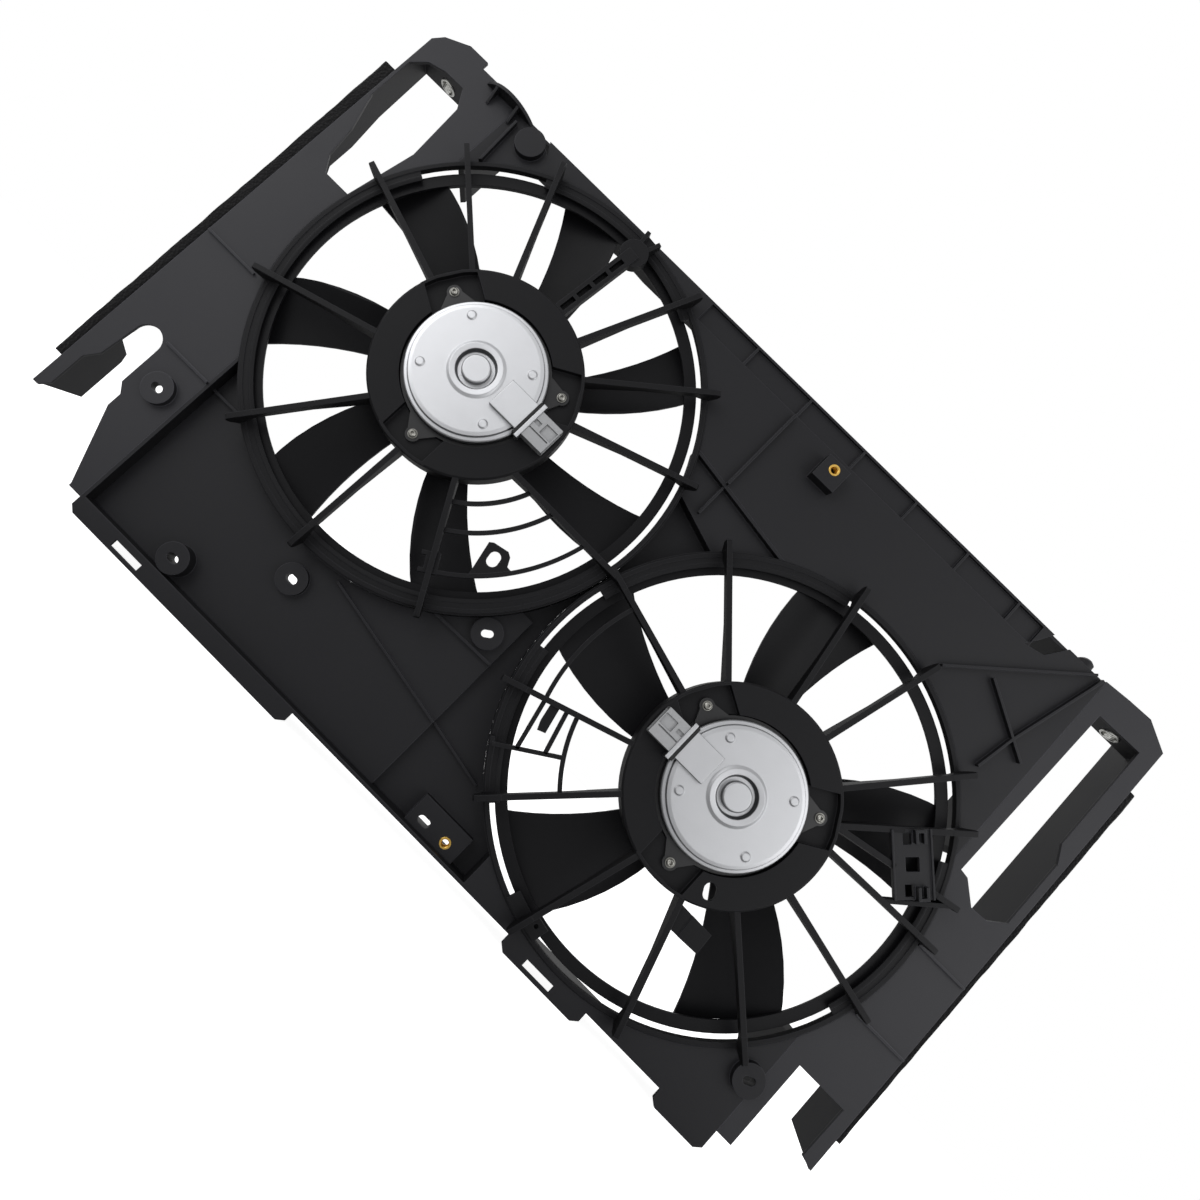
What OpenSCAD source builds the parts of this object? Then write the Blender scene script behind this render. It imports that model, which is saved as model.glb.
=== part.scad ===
// Twin electric cooling fan for a car radiator: one moulded shroud, two motors, two fan wheels.
// Frame: +X across the car, +Y towards the radiator, +Z up.
// The origin lies midway between the two top bolt sleeves, on their shared centre line height and depth.

/* [Shroud outline] */
// Width over the two wings, without the side seals
shroud_w = 744; // [720:1:780]
// Top edge of the panel above the bolt centre line
panel_top = 13; // [10:0.5:18]
// Lower edge of the panel below the bolt centre line
panel_drop = 405; // [400:1:430]
// Wall thickness of the moulding
wall = 2.5; // [2:0.1:3.5]
// Distance from the bolt centre line forward to the front face of the wings
deck_front = 14.5; // [13:0.5:17]
// Distance from the bolt centre line back to the rim that meets the radiator
rim_back = 35; // [30:1:45]
// Width of the left wing, from its edge to the recessed panel
left_wing_w = 83; // [80:1:88]
// Width of the right wing, from its edge to the fold
right_wing_w = 63; // [60:1:66]
// How far the lower left panel is set back from the wings
recess = 11.5; // [8:0.5:14]
// How far the lower right panel is set back behind the lower left one
recess_step = 6; // [4:0.5:8]
// Height of the stiffening ribs on the front of the panel
rib_h = 4; // [2:0.5:6]
// Thickness of the stiffening ribs
rib_t = 1.8; // [1.4:0.1:2.4]

/* [Fan positions] */
// Left fan axis, distance left of the middle
left_fan_x = 161; // [159:0.5:163]
// Left fan axis, distance below the bolt centre line
left_fan_z = 155; // [154:0.5:157]
// Right fan axis, distance right of the middle
right_fan_x = 163.5; // [162:0.5:166]
// Right fan axis, distance below the bolt centre line
right_fan_z = 235.5; // [234:0.5:238]

/* [Fan ports] */
// Radius of the round port that the fan ring turns in
port_r = 162; // [161.5:0.25:163]
// Radial width of the raised lip round the port
lip_w = 3; // [2:0.25:3.5]
// Height of the lip in front of the wings
lip_h = 2.5; // [1.5:0.25:4]
// Width of the port's seat, from the port to the panel
seat_w = 4.5; // [4:0.1:4.7]
// Radius inside which the closed stretches of the port cover the fan ring
cover_r = 155; // [153:0.5:158]

/* [Motor carriers] */
// Outer radius of the carrier plate behind each motor cap
hub_r = 75.3; // [73:0.1:77]
// Front face of the carrier plate, ahead of the bolt centre line
hub_front = 32; // [31:0.5:34]
// Depth of the carrier plate
hub_t = 8; // [7:0.5:9]
// Thickness of each arm
arm_t = 4; // [3:0.2:5]
// Front edge of the arms at their outer end
arm_tip_front = 28; // [26:0.5:30]
// Pitch circle radius of the three motor screws
screw_pcr = 61; // [60:0.5:62.5]
// Radius of the screw holes in the carrier
screw_hole_r = 2.1; // [1.9:0.05:2.3]
// Depth of the pockets for the motor's ears
pocket_h = 5; // [4:0.25:5.5]

/* [Motor] */
// Radius of the motor's front cap
cap_r = 50; // [49:0.25:51]
// Front face of the cap
cap_front = 40; // [39:0.5:42]
// Outer radius of the motor's steel yoke
yoke_r = 48; // [47:0.25:48.5]
// Sheet thickness of the yoke and cap
sheet = 2; // [1.6:0.1:2.4]
// Radius of the motor shaft
shaft_r = 4; // [3.5:0.25:5]
// Radial running clearance of the shaft in its bearings
shaft_play = 0.03; // [0.02:0.01:0.06]
// Outer radius of the shaft bearings
bearing_r = 8.5; // [8:0.25:9]
// Length of the shaft bearings
bearing_l = 6; // [5:0.5:7]
// Radius of the armature
armature_r = 37; // [35:0.5:37.5]
// Radial air gap between the armature and the magnets
air_gap = 0.8; // [0.6:0.1:1.2]
// Radius of the commutator
commutator_r = 11; // [10:0.5:12]

/* [Fan wheels] */
// Outer radius of the ring round the blades
ring_r = 158.5; // [157.5:0.25:159.5]
// Width of the ring's flat front face
ring_w = 8.7; // [7:0.1:10]
// Front face of the fan ring, ahead of the bolt centre line
ring_front = 12.5; // [12:0.25:13]
// Depth of the ring's outer flange
ring_depth = 13; // [10:0.5:15]
// Radius of the hub cup that carries the blades
cup_r = 57; // [55:0.5:59]
// Thickness of the blades
blade_t = 2.4; // [2:0.1:3]
// Number of blades on the left wheel
left_blades = 7; // [5:1:8]
// Number of blades on the right wheel
right_blades = 5; // [4:1:6]
// Angle that a left blade spans at its tip
left_tip_span = 17.5; // [14:0.5:20]
// Angle that a right blade spans at its tip
right_tip_span = 26; // [22:0.5:30]
// Angle that the blade tips lead their roots by
sweep = 10; // [4:1:14]

/* [Mounting] */
// Distance between the two top bolt sleeves
sleeve_pitch = 689; // [684:1:692]
// Bore radius of the steel sleeves
sleeve_bore_r = 5; // [4.5:0.25:5.5]
// Outer radius of the steel sleeves
sleeve_r = 7; // [6.5:0.25:8]
// Length of the steel sleeves
sleeve_l = 12; // [11:0.5:15]
// Distance between the two locating pegs on top
peg_pitch = 591; // [588:1:594]
// Radius of the locating pegs
peg_r = 6; // [5:0.25:7]
// Height of the locating pegs above the panel's top edge
peg_h = 10; // [8:0.5:13]
// Thread core radius of the brass inserts
insert_bore_r = 2.5; // [2:0.25:3]
// Outer radius of the brass inserts
insert_r = 4.2; // [3.8:0.1:4.6]
// Length of the slots in the snap tabs
tab_slot_l = 25; // [20:1:28]
// Height of the slots in the snap tabs
tab_slot_h = 5.5; // [5:0.25:6]
// Depth of the snap tabs below the panel's lower edge
tab_drop = 11; // [10:0.5:13]

/* [Side seals] */
// Thickness of the left foam strip
left_seal_t = 13; // [9:0.5:16]
// Thickness of the right foam strip
right_seal_t = 8; // [6:0.5:12]
// Depth of the foam strips, front to back
seal_d = 22; // [16:1:26]
// Length of the foam strips
seal_l = 318; // [280:1:322]

/* [Hidden] */
$fn = 96;

// Depths along Y, negative towards the engine
half_w = shroud_w / 2;
deck_y = -deck_front;
deck_back = deck_y + wall;
low_y = deck_y + recess;
deep_y = low_y + recess_step;
mid_y = deck_y + recess / 2;
lip_y = deck_y - lip_h;
hub_y = -hub_front;
hub_back = hub_y + hub_t;
tip_y = -arm_tip_front;
cap_y = -cap_front;
ring_y = -ring_front;

// Edges of the panel across X and Z
left_fold = -half_w + left_wing_w;
right_fold = half_w - right_wing_w;
mid_step = -12;
low_right_step = 78;
mid_rib_z = -248;
wing_foot_z = -373;
rim_foot = -panel_drop + wall;
seat_r = port_r + seat_w;
lip_r = port_r + lip_w;

// Ends of the two webs between the fans, as X and Z
web_1 = [[-17, -76], [86, -91]];
web_2 = [[-3, -105], [44, -120.5]];

// Arms as pairs of angles, at the carrier and at the port, counter-clockwise from +X
left_arm_angles = [
    [114, 114], [64.5, 66.5], [43, 42], [17, 18.5], [335, 349.3], [304.5, 302], [271, 269],
    [238.5, 236], [203, 199], [160, 161], [137.6, 137.8]
];
right_arm_angles = [
    [99.5, 99], [74.4, 74.7], [47.7, 48.6], [28.2, 35.3], [28.2, 18.3], [15.5, 7.7], [344.5, 345.7],
    [315.4, 316.5], [286.4, 287.3], [255.6, 255], [223.7, 225.2], [198, 198], [160.2, 162.2], [136, 134]
];
// Stretches of each port, in degrees, where the shroud closes over the fan ring
left_covers = [[63, 117], [150, 350]];
right_covers = [[100, 167], [187, 227], [340, 387]];
// Stretches of each port that are walled down to the recessed panel
left_skirt = [219.5, 389];
port_seam = 45;
hairline = 0.05;
right_skirt = [118, 239];

screw_angles = [30, 150, 270];
pocket_w = 38;

// Motor layout along Y
cap_skirt_back = -30;
yoke_back = 2;
boss_r = bearing_r + 1.6;
flange_front = hub_y + pocket_h - sheet;
plate_y = cap_skirt_back + 0.5;
plate_t = 1.5;
commutator_l = 8;
brush_box_l = 6;
core_y = -17;
core_l = 10;
winding_h = 4;
winding_r = armature_r - 3.5;
magnet_r = armature_r + air_gap;
slots = 12;
slot_w = 4;
slot_r = 20;
cup_back = 12;
shaft_end = 27;
nut_h = 5;

// Fan blades: each is cut from a conical shell whose crown lies ahead of the leading edge
blade_y = 4;
root_depth = 11;
tip_depth = 13;
ridge_lead = 9;
left_root_span = 24;
right_root_span = 32;
left_start = -11;
right_start = -0.5;
tip_r = ring_r - 0.8;

// Places of the small features
sleeve_x = sleeve_pitch / 2;
peg_x = peg_pitch / 2;
clip_r = 11.5;
clip_h = 5;
clip_hole = [9, 5.6];
block = [20, 20];
insert_hi = [62.5, -20];
insert_lo = [51.8, -395];
insert_l = 8;
seal_y = deck_y + 3;
seal_top = -30;

// Plate with its outline in X and Z, between two depths
module plate(front, back) {
    translate([0, back, 0]) rotate([90, 0, 0]) linear_extrude(back - front) children();
}
// Solid of revolution about Y, its profile given as radius and Y
module turned() {
    rotate([-90, 0, 0]) rotate_extrude() children();
}
// The same over the angles a0 to a1, counter-clockwise from +X
module turned_arc(a0, a1) {
    rotate([0, -a1, 0]) rotate([-90, 0, 0]) rotate_extrude(angle = a1 - a0) children();
}
// Turns +X towards +Z
module turn(a) {
    rotate([0, -a, 0]) children();
}
module at_left() {
    translate([-left_fan_x, 0, -left_fan_z]) children();
}
module at_right() {
    translate([right_fan_x, 0, -right_fan_z]) children();
}
// The right motor and wheel are the mirror image of the left ones
module right_hand() {
    at_right() mirror([1, 0, 0]) children();
}
// Cylinder along Y
module rod(r, front, back) {
    turned() translate([0, front]) square([r, back - front]);
}
// Tube along Y
module tube(r_in, r_out, front, back) {
    turned() translate([r_in, front]) square([r_out - r_in, back - front]);
}
// Straight bar of a given thickness between two points in X and Z
module bar(a, b, t, front, back) {
    d = b - a;
    plate(front, back) translate(a) rotate(atan2(d[1], d[0])) translate([0, -t / 2]) square([norm(d), t]);
}
module oval(l, w) {
    union() {
        square([l - w, w], center = true);
        for (s = [-1, 1]) translate([s * (l - w) / 2, 0]) circle(d = w);
    }
}
module ports_2d(r) {
    translate([-left_fan_x, -left_fan_z]) circle(r);
    translate([right_fan_x, -right_fan_z]) circle(r);
}
module port_holes(r = seat_r) {
    plate(deck_y - 30, rim_back + 10) ports_2d(r);
}
// Round clip boss with an oval hole
module clip_boss(p, front, back) {
    plate(front, back) translate(p) circle(clip_r);
}
module clip_holes() {
    for (c = [[[-215, -390], 0], [[-151, -344], 0], [[-29, -275], 35], [[-307.7, -317], 0], [[301, -360], 25]])
        plate(deck_y - 30, rim_back - 1) translate(c[0]) rotate(c[1]) oval(clip_hole[0], clip_hole[1]);
}

module upper_deck() {
    plate(deck_y, deck_back) difference() {
        polygon([
            [left_fold, panel_top], [right_fold, panel_top], [right_fold, -right_fan_z],
            [right_fan_x, -right_fan_z], web_1[1], web_1[0], [-left_fan_x, -left_fan_z],
            [left_fold, -left_fan_z]
        ]);
        ports_2d(seat_r);
        strip_2d();
        polygon([[-263, panel_top + 1], [-255, panel_top + 1], [-248, 3]]);
        polygon([[260, panel_top + 1], [275, panel_top + 1], [263, -4], [247, -8], [253, 1]]);
    }
}
// Band along the top edge, set back behind the panel between short ribs
module strip_2d() {
    translate([-84, -5.5]) square([334, panel_top + 5.5 - rib_t]);
}
module top_strip() {
    plate(deck_back, deck_back + wall) translate([-86, -7.5]) square([338, panel_top + 7.5]);
    for (x = [-38, 16, 70, 122, 174, 225])
        translate([x, deck_y, -6.5]) cube([rib_t, wall, panel_top + 5.5]);
}
module middle_decks() {
    plate(mid_y, mid_y + wall) difference() {
        polygon([web_1[0], web_1[1], web_2[1], web_2[0]]);
        ports_2d(seat_r);
    }
    plate(deep_y, deep_y + wall) difference() {
        polygon([web_2[0], web_2[1], [right_fan_x, -right_fan_z], [-left_fan_x, -left_fan_z]]);
        ports_2d(seat_r);
    }
}
module low_decks() {
    plate(low_y, low_y + wall) difference() {
        polygon([
            [left_fold + wall, rim_foot], [mid_step, rim_foot], [mid_step, mid_rib_z], [-40, mid_rib_z],
            [-left_fan_x, -left_fan_z], [left_fold + wall, -left_fan_z]
        ]);
        ports_2d(seat_r);
    }
    plate(deep_y, deep_y + wall) difference() {
        polygon([
            [mid_step, rim_foot], [low_right_step, rim_foot], [low_right_step, -right_fan_z],
            [right_fan_x, -right_fan_z], [-left_fan_x, -left_fan_z], [-40, mid_rib_z], [mid_step, mid_rib_z]
        ]);
        ports_2d(seat_r);
    }
}
// Upright walls where the panel changes depth
module step_walls() {
    translate([mid_step - wall, low_y, rim_foot]) cube([wall, deep_y + wall - low_y, mid_rib_z - rim_foot]);
    bar([-60, mid_rib_z], [mid_step, mid_rib_z], wall, low_y, deep_y + wall);
    bar(web_1[0], web_1[1], wall, deck_y, mid_y + wall);
    bar(web_2[0], web_2[1], wall, mid_y, deep_y + wall);
}
// Rib on the front of a deck
module rib(a, b, front) {
    bar(a, b, rib_t, front - rib_h, front + 1);
}
module snap_tab(x0, x1, slot_x) {
    z1 = -panel_drop;
    z0 = z1 - tab_drop;
    plate(deck_y, deck_back) difference() {
        polygon([[x0, z1], [x0, z0 + 4], [x0 + 5, z0], [x1 - 5, z0], [x1, z0 + 4], [x1, z1]]);
        if (slot_x != undef) translate([slot_x, z0 + tab_drop / 2]) square([tab_slot_l, tab_slot_h], center = true);
    }
}
module locating_peg(x) {
    translate([x, -2, panel_top - wall]) {
        translate([-24, deck_back + 2, 0]) cube([48, 22, wall]);
        rotate_extrude() polygon([
            [0, 0], [peg_r, 0], [peg_r, peg_h + wall - 2], [peg_r - 2, peg_h + wall], [0, peg_h + wall]
        ]);
    }
}
// Side walls of the panel, from its front back to the rim
module rim_sides(left_z, right_z) {
    translate([left_fold, deck_y, left_z[0]]) cube([wall, rim_back - deck_y, left_z[1] - left_z[0]]);
    translate([right_fold - wall, deck_y, right_z[0]]) cube([wall, rim_back - deck_y, right_z[1] - right_z[0]]);
}
module shroud_panel() color([0.13, 0.13, 0.14]) {
    top = panel_top - 1;
    difference() {
        union() {
            upper_deck();
            top_strip();
            translate([left_fold, deck_back, panel_top - wall])
                cube([right_fold - left_fold, rim_back - deck_back, wall]);
            rim_sides([-49, panel_top], [-156, panel_top]);
            rib([16, -7], [16, -80], deck_y);
            rib([299, top], [213, -64], deck_y);
            rib([305, top], [284, -66], deck_y);
            rib([284, -66], [278, -98], deck_y);
            rib([246, -44], [299, -75], deck_y);
            rib([-281, 4], [-276, -62], deck_y);
            clip_boss([-262, -1], deck_y - clip_h, deck_back);
            translate([insert_hi[0] - block[0] / 2, deck_y - 10, insert_hi[1] - block[1] / 2 - 3])
                cube([block[0], 10 + wall, block[1]]);
        }
        port_holes();
        web_room();
        plate(deck_y - 10.5, deck_y - 10 + insert_l) translate(insert_hi) circle(insert_r);
    }
    locating_peg(-peg_x);
    locating_peg(peg_x);
}
// Room in the upper panel for the wall along the first web
module web_room() {
    bar(web_1[0], web_1[1], wall, deck_y - rib_h - 1, mid_y + wall);
}
module recessed_panel() color([0.12, 0.12, 0.13]) {
    difference() {
        union() {
            middle_decks();
            low_decks();
            step_walls();
            rib([16, -81], [16, -108], mid_y);
            rib([-128, -323], [mid_step, -344], low_y);
            rib([mid_step, -344], [40, -354], deep_y);
            rib([left_fold + wall, -290.5], [-250, -290.5], low_y);
            rib([-68, -290.5], [mid_step, -289], low_y);
            clip_boss([-215, -390], deck_y, low_y + wall);
            clip_boss([-151, -344], low_y - clip_h, low_y + wall);
            clip_boss([-29, -275], low_y - clip_h, low_y + wall);
            translate([20, low_y - 2, rim_foot]) cube([44, deep_y + wall + 2 - low_y, 22]);
        }
        port_holes();
        clip_holes();
        plate(low_y - 3, rim_back) translate(insert_lo) circle(insert_r);
        plate(low_y - 3, rim_back) translate([31.4, -395]) oval(10, 6);
    }
}
// Lower edge of the shroud: the rim wall with its snap tabs, and the corner at deck height
module lower_flange() color([0.13, 0.13, 0.14]) {
    difference() {
        union() {
            plate(deck_y, deck_back) difference() {
                polygon([
                    [low_right_step, -panel_drop], [right_fold, -panel_drop], [right_fold, -right_fan_z],
                    [right_fan_x, -right_fan_z], [low_right_step, -right_fan_z]
                ]);
                ports_2d(seat_r);
            }
            translate([left_fold, deck_y, -panel_drop]) cube([right_fold - left_fold, rim_back - deck_y, wall]);
            rim_sides([-panel_drop, -261], [-panel_drop, -315]);
            translate([low_right_step, deck_y, -panel_drop])
                cube([wall, deep_y + wall - deck_y, panel_drop - right_fan_z]);
            clip_boss([301, -360], deck_y - clip_h, deck_back);
        }
        port_holes();
        clip_holes();
    }
    snap_tab(left_fold, -83, -238);
    snap_tab(123, 195, 155.5);
    snap_tab(264, right_fold);
}

// Keyhole notch and foot of the left wing
module left_notch_2d() {
    x = -half_w;
    union() {
        translate([x + 31, -299]) circle(11);
        polygon([
            [x + 20, -299], [x + 42, -299], [x + 42, -331], [x + 48, -338], [x + 48, -349], [x + 72, -403],
            [x + 72, -450], [x - 10, -450], [x - 10, wing_foot_z], [x + 4, wing_foot_z],
            [x + 10, -366], [x + 10, -338], [x + 17, -328]
        ]);
    }
}
module left_window_2d() {
    x = -half_w;
    polygon([
        [x - 1, -30], [x - 1, -45], [x + 4, -62], [x + 12, -86], [x + 16, -112], [x + 24, -124], [x + 47, -124],
        [x + 57, -68], [x + 53, -20], [x + 44, -5], [x + 26, -5], [x + 12, -9], [x + 2, -20]
    ]);
}
// Side wall given by the outline of its depth and height
module side_wall(x, outline) {
    translate([x, 0, 0]) rotate([90, 0, 90]) linear_extrude(wall) polygon(outline);
}
module left_wing() color([0.16, 0.16, 0.17]) {
    x = -half_w;
    difference() {
        union() {
            plate(deck_y, deck_back) difference() {
                polygon([
                    [x, -400], [x, 6], [x + 6, 14], [x + 24, 23], [x + 42, 23], [x + 42, 17],
                    [left_fold, 17], [left_fold, -panel_drop], [x, -panel_drop]
                ]);
                ports_2d(seat_r);
                left_window_2d();
                left_notch_2d();
            }
            side_wall(x, [
                [deck_y, wing_foot_z], [deck_y, 6], [9, 6], [12, -55], [18, -85], [18, -108], [rim_back - 3, -120],
                [rim_back - 2, -284], [deck_y + 6, -288], [deck_y + 6, -304], [rim_back - 5, -318],
                [rim_back - 2, -325], [rim_back - 2, -364]
            ]);
            translate([x, deck_y, -5]) cube([56, -deck_y + 9, 10]);
            difference() {
                for (r = [[[x + 1, -213.5], [x + 47, -213.5]], [[x + 43, -290.5], [left_fold, -290.5]]])
                    bar(r[0], r[1], rib_t, deck_y - rib_h / 2, deck_back);
                port_holes();
            }
            clip_boss([-307.7, -317], deck_y - clip_h, deck_back);
        }
        clip_holes();
        translate([-sleeve_x, 0, 0]) cylinder(r = sleeve_r, h = 60, center = true);
    }
}
module right_window_2d() {
    x = half_w;
    polygon([
        [x - 51, -7], [x - 13, -6], [x - 13, -94], [x - 6, -107], [x - 6, -162], [x - 18, -171], [x - 32, -172],
        [x - 47, -159], [x - 54, -158]
    ]);
}
module right_wing() color([0.16, 0.16, 0.17]) {
    x = half_w;
    difference() {
        union() {
            plate(deck_y, deck_back) difference() {
                polygon([
                    [x, wing_foot_z], [x, 6], [x - 22, 18], [x - 42, 17], [right_fold, 15],
                    [right_fold, -panel_drop + 7], [x - 50, -panel_drop + 7], [x - 50, -330], [x - 9, -330],
                    [x - 10, wing_foot_z + 3]
                ]);
                ports_2d(seat_r);
                right_window_2d();
            }
            side_wall(x - wall, [
                [deck_y, wing_foot_z], [deck_y, 6], [rim_back - 5, 6], [rim_back - 5, -364]
            ]);
            translate([x - 55, deck_y, -5]) cube([55, -deck_y + 9, 10]);
            difference() {
                for (z = [-216, -279.3]) bar([x - 45, z], [x - 1, z], rib_t, deck_y - rib_h / 2, deck_back);
                port_holes();
            }
        }
        translate([sleeve_x, 0, 0]) cylinder(r = sleeve_r, h = 60, center = true);
        clip_boss([301, -360], deck_y - clip_h - 1, deck_back + 1);
    }
}

// Seat of a fan port with its raised lip, covers over the fan ring and a wall down to the recess
module fan_port(covers, skirt) {
    turn(port_seam) turned() polygon([
        [port_r, lip_y], [lip_r, lip_y], [lip_r, deck_y], [seat_r, deck_y], [seat_r, deck_back], [port_r, deck_back]
    ]);
    for (c = covers) turned_arc(c[0], c[1]) polygon([
        [cover_r, lip_y + 0.6], [cover_r + 2, lip_y + 0.1], [cover_r + 3, lip_y + 0.1], [cover_r + 3.4, lip_y + 0.6],
        [port_r + 1, lip_y + 0.6], [port_r + 1, lip_y + 2], [cover_r, lip_y + 2]
    ]);
    turned_arc(skirt[0], skirt[1]) translate([seat_r - wall, deck_back - 1])
        square([wall - hairline, deep_y + wall - deck_back + 1]);
}
module left_fan_port() color([0.11, 0.11, 0.12]) {
    at_left() fan_port(left_covers, left_skirt);
}
module right_fan_port() color([0.11, 0.11, 0.12]) {
    at_right() {
        fan_port(right_covers, right_skirt);
        difference() {
            turn(252) translate([port_r - 8, lip_y - 2, -9]) cube([lip_w + 7, 2.5, 18]);
            right_arms();
        }
    }
}

// One arm: a fin that starts on the carrier plate and ends as a post on the port's lip
module arm(angles, t = arm_t) {
    p = [hub_r - 3, angles[0]];
    q = [seat_r - 0.5, angles[1]];
    a = [p[0] * cos(p[1]), p[0] * sin(p[1])];
    b = [q[0] * cos(q[1]), q[0] * sin(q[1])];
    d = b - a;
    l = norm(d);
    translate([a[0], 0, a[1]]) turn(atan2(d[1], d[0])) linear_extrude(t, center = true) polygon([
        [0, hub_y + 1], [l - 4, tip_y], [l - 1.5, tip_y + 1], [l, tip_y + 4], [l, deck_y], [l - 1, deck_y],
        [l - 1, lip_y], [l - 4, lip_y], [l - 12, tip_y + 6], [l * 0.45, hub_y + 9], [0, hub_back + 6]
    ]);
}
// Twin-rail arm with a round boss and a forked end
module ladder_arm(a) {
    r0 = hub_r - 3;
    boss = 144 - r0;
    turn(a) translate([r0, 0, 0]) difference() {
        union() {
            translate([0, hub_y + 1, -5]) cube([boss, 6, 10]);
            plate(hub_y + 2, hub_y + 9) translate([boss, 0]) circle(10.5);
            for (s = [-1, 1]) plate(tip_y, tip_y + 6) translate([boss + 6, s * 3]) rotate(s * 12)
                translate([0, -1.5]) square([seat_r - r0 - boss - 8, 3]);
            plate(tip_y + 3, lip_y) translate([boss + 8, -5]) square([lip_r - r0 - boss - 10, 10]);
        }
        for (x = [4 : 15 : boss - 22]) translate([x, hub_y, -2]) cube([12, 10, 4]);
    }
}
module left_arms() {
    for (p = left_arm_angles) arm(p);
    ladder_arm(84.5);
}
module right_arms() {
    for (p = right_arm_angles) arm(p);
}
// Carrier plate: a shallow ring with a rim, a collar round the motor and three ear pockets
module carrier_plate() {
    collar_r = yoke_r + 5;
    difference() {
        union() {
            turned() polygon([
                [collar_r, hub_y], [hub_r - 1.5, hub_y], [hub_r, hub_y + 1.5], [hub_r, hub_back + 6],
                [hub_r - wall, hub_back + 6], [hub_r - wall, hub_y + 3], [collar_r + wall, hub_y + 3],
                [collar_r + wall, hub_back], [collar_r, hub_back]
            ]);
            for (a = screw_angles) turn(a) intersection() {
                translate([collar_r - 1, hub_y, -pocket_w / 2 - wall])
                    cube([hub_r - collar_r, hub_t, pocket_w + 2 * wall]);
                tube(collar_r, hub_r - 0.5, hub_y, hub_back);
            }
        }
        for (a = screw_angles) turn(a) {
            intersection() {
                translate([collar_r - 9, hub_y - 1, -pocket_w / 2]) cube([hub_r - collar_r + 6, pocket_h + 1, pocket_w]);
                tube(collar_r - 2, hub_r - 2.5, hub_y - 1, hub_back);
            }
            translate([screw_pcr, 0, 0]) rod(screw_hole_r, hub_y, hub_back + 1);
        }
    }
}
module left_motor_carrier() color([0.14, 0.14, 0.15]) {
    at_left() {
        carrier_plate();
        difference() {
            left_arms();
            rod(hub_r - 1, hub_y - 5, deck_back);
        }
    }
}
module right_motor_carrier() color([0.14, 0.14, 0.15]) {
    at_right() {
        difference() {
            carrier_plate();
            turn(299) translate([64, 0, 0]) plate(hub_y - 1, hub_back) oval(6, 9);
        }
        difference() {
            right_arms();
            rod(hub_r - 1, hub_y - 5, deck_back);
        }
    }
}

guard_w = 3;
guard_y = tip_y + 1;
// Arc-shaped guard bar about the fan axis
module guard_arc(r, a0, a1) {
    turned_arc(a0, a1) translate([r - guard_w / 2, guard_y]) square([guard_w, guard_w]);
}
module left_finger_guard() color([0.14, 0.14, 0.15]) {
    at_left() difference() {
        union() {
            guard_arc(93.5, 304.5, 341);
            guard_arc(116, 304, 344.6);
            guard_arc(144, 322, 347.7);
            plate(guard_y, guard_y + guard_w) difference() {
                union() {
                    rotate(-40) translate([132, -8]) square([19, 16]);
                    rotate(-40) translate([132, 0]) circle(8);
                }
                rotate(-40) translate([132, 0]) rotate(20) oval(9, 5);
            }
            turn(-40) translate([149, guard_y + 0.4, -7]) cube([3, lip_y - guard_y - 0.7, 14]);
            turn(-40) translate([149.5, lip_y - 2, -6.5]) cube([13.5, 2, 13]);
        }
        left_arms();
    }
}
module right_finger_guard() color([0.14, 0.14, 0.15]) {
    at_right() difference() {
        union() {
            guard_arc(146, 163, 212);
            guard_arc(124.7, 199, 224.5);
            bar([-138, -90], [-102, -67], guard_w, guard_y, guard_y + guard_w);
            bar([-129, -43], [-116.5, -75], guard_w, guard_y, guard_y + guard_w);
            bar([-138, -90], [-141, -86], guard_w, guard_y, lip_y);
            plate(guard_y, guard_y + guard_w) polygon([[-139, -47], [-133, -46], [-127, -68], [-135, -71]]);
        }
        right_arms();
        tube(port_r - 8, seat_r + 5, lip_y, 0);
    }
}
// Clip plate between two arms of the right carrier, for a control unit
module module_bracket() color([0.14, 0.14, 0.15]) {
    at_right() difference() {
        turn(26.5) translate([0, tip_y - 1.5, 0]) {
            difference() {
                translate([111, 0, -26]) cube([26, wall, 52]);
                translate([120, -1, -4.5]) cube([9, wall + 2, 9]);
            }
            for (z = [-24, 17]) for (x = [118, 126])
                translate([x, -4, z]) cube([2, 4, 8]);
            for (z = [-26, 24]) translate([111, 0, z]) cube([26, 8, 2]);
        }
        right_arms();
    }
}

module foam_strip(x, t, taper) {
    plate(seal_y, seal_y + seal_d) polygon([
        [x, seal_top], [x + t, seal_top], [x + t - taper, seal_top - seal_l], [x, seal_top - seal_l]
    ]);
}
module left_side_seal() color([0.05, 0.05, 0.05]) {
    foam_strip(-half_w, -left_seal_t, -3);
}
module right_side_seal() color([0.05, 0.05, 0.05]) {
    foam_strip(half_w, right_seal_t, 1);
}
module bolt_sleeve() {
    difference() {
        cylinder(r = sleeve_r, h = sleeve_l, center = true);
        cylinder(r = sleeve_bore_r, h = sleeve_l + 2, center = true);
    }
}
module left_bolt_sleeve() color([0.7, 0.7, 0.7]) {
    translate([-sleeve_x, 0, 0]) bolt_sleeve();
}
module right_bolt_sleeve() color([0.7, 0.7, 0.7]) {
    translate([sleeve_x, 0, 0]) bolt_sleeve();
}
module upper_threaded_insert() color([0.78, 0.58, 0.25]) {
    translate([insert_hi[0], 0, insert_hi[1]])
        tube(insert_bore_r, insert_r, deck_y - 10.3, deck_y - 10 + insert_l);
}
module lower_threaded_insert() color([0.78, 0.58, 0.25]) {
    translate([insert_lo[0], 0, insert_lo[1]]) tube(insert_bore_r, insert_r, low_y - 2.3, low_y - 2 + insert_l);
}

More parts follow.
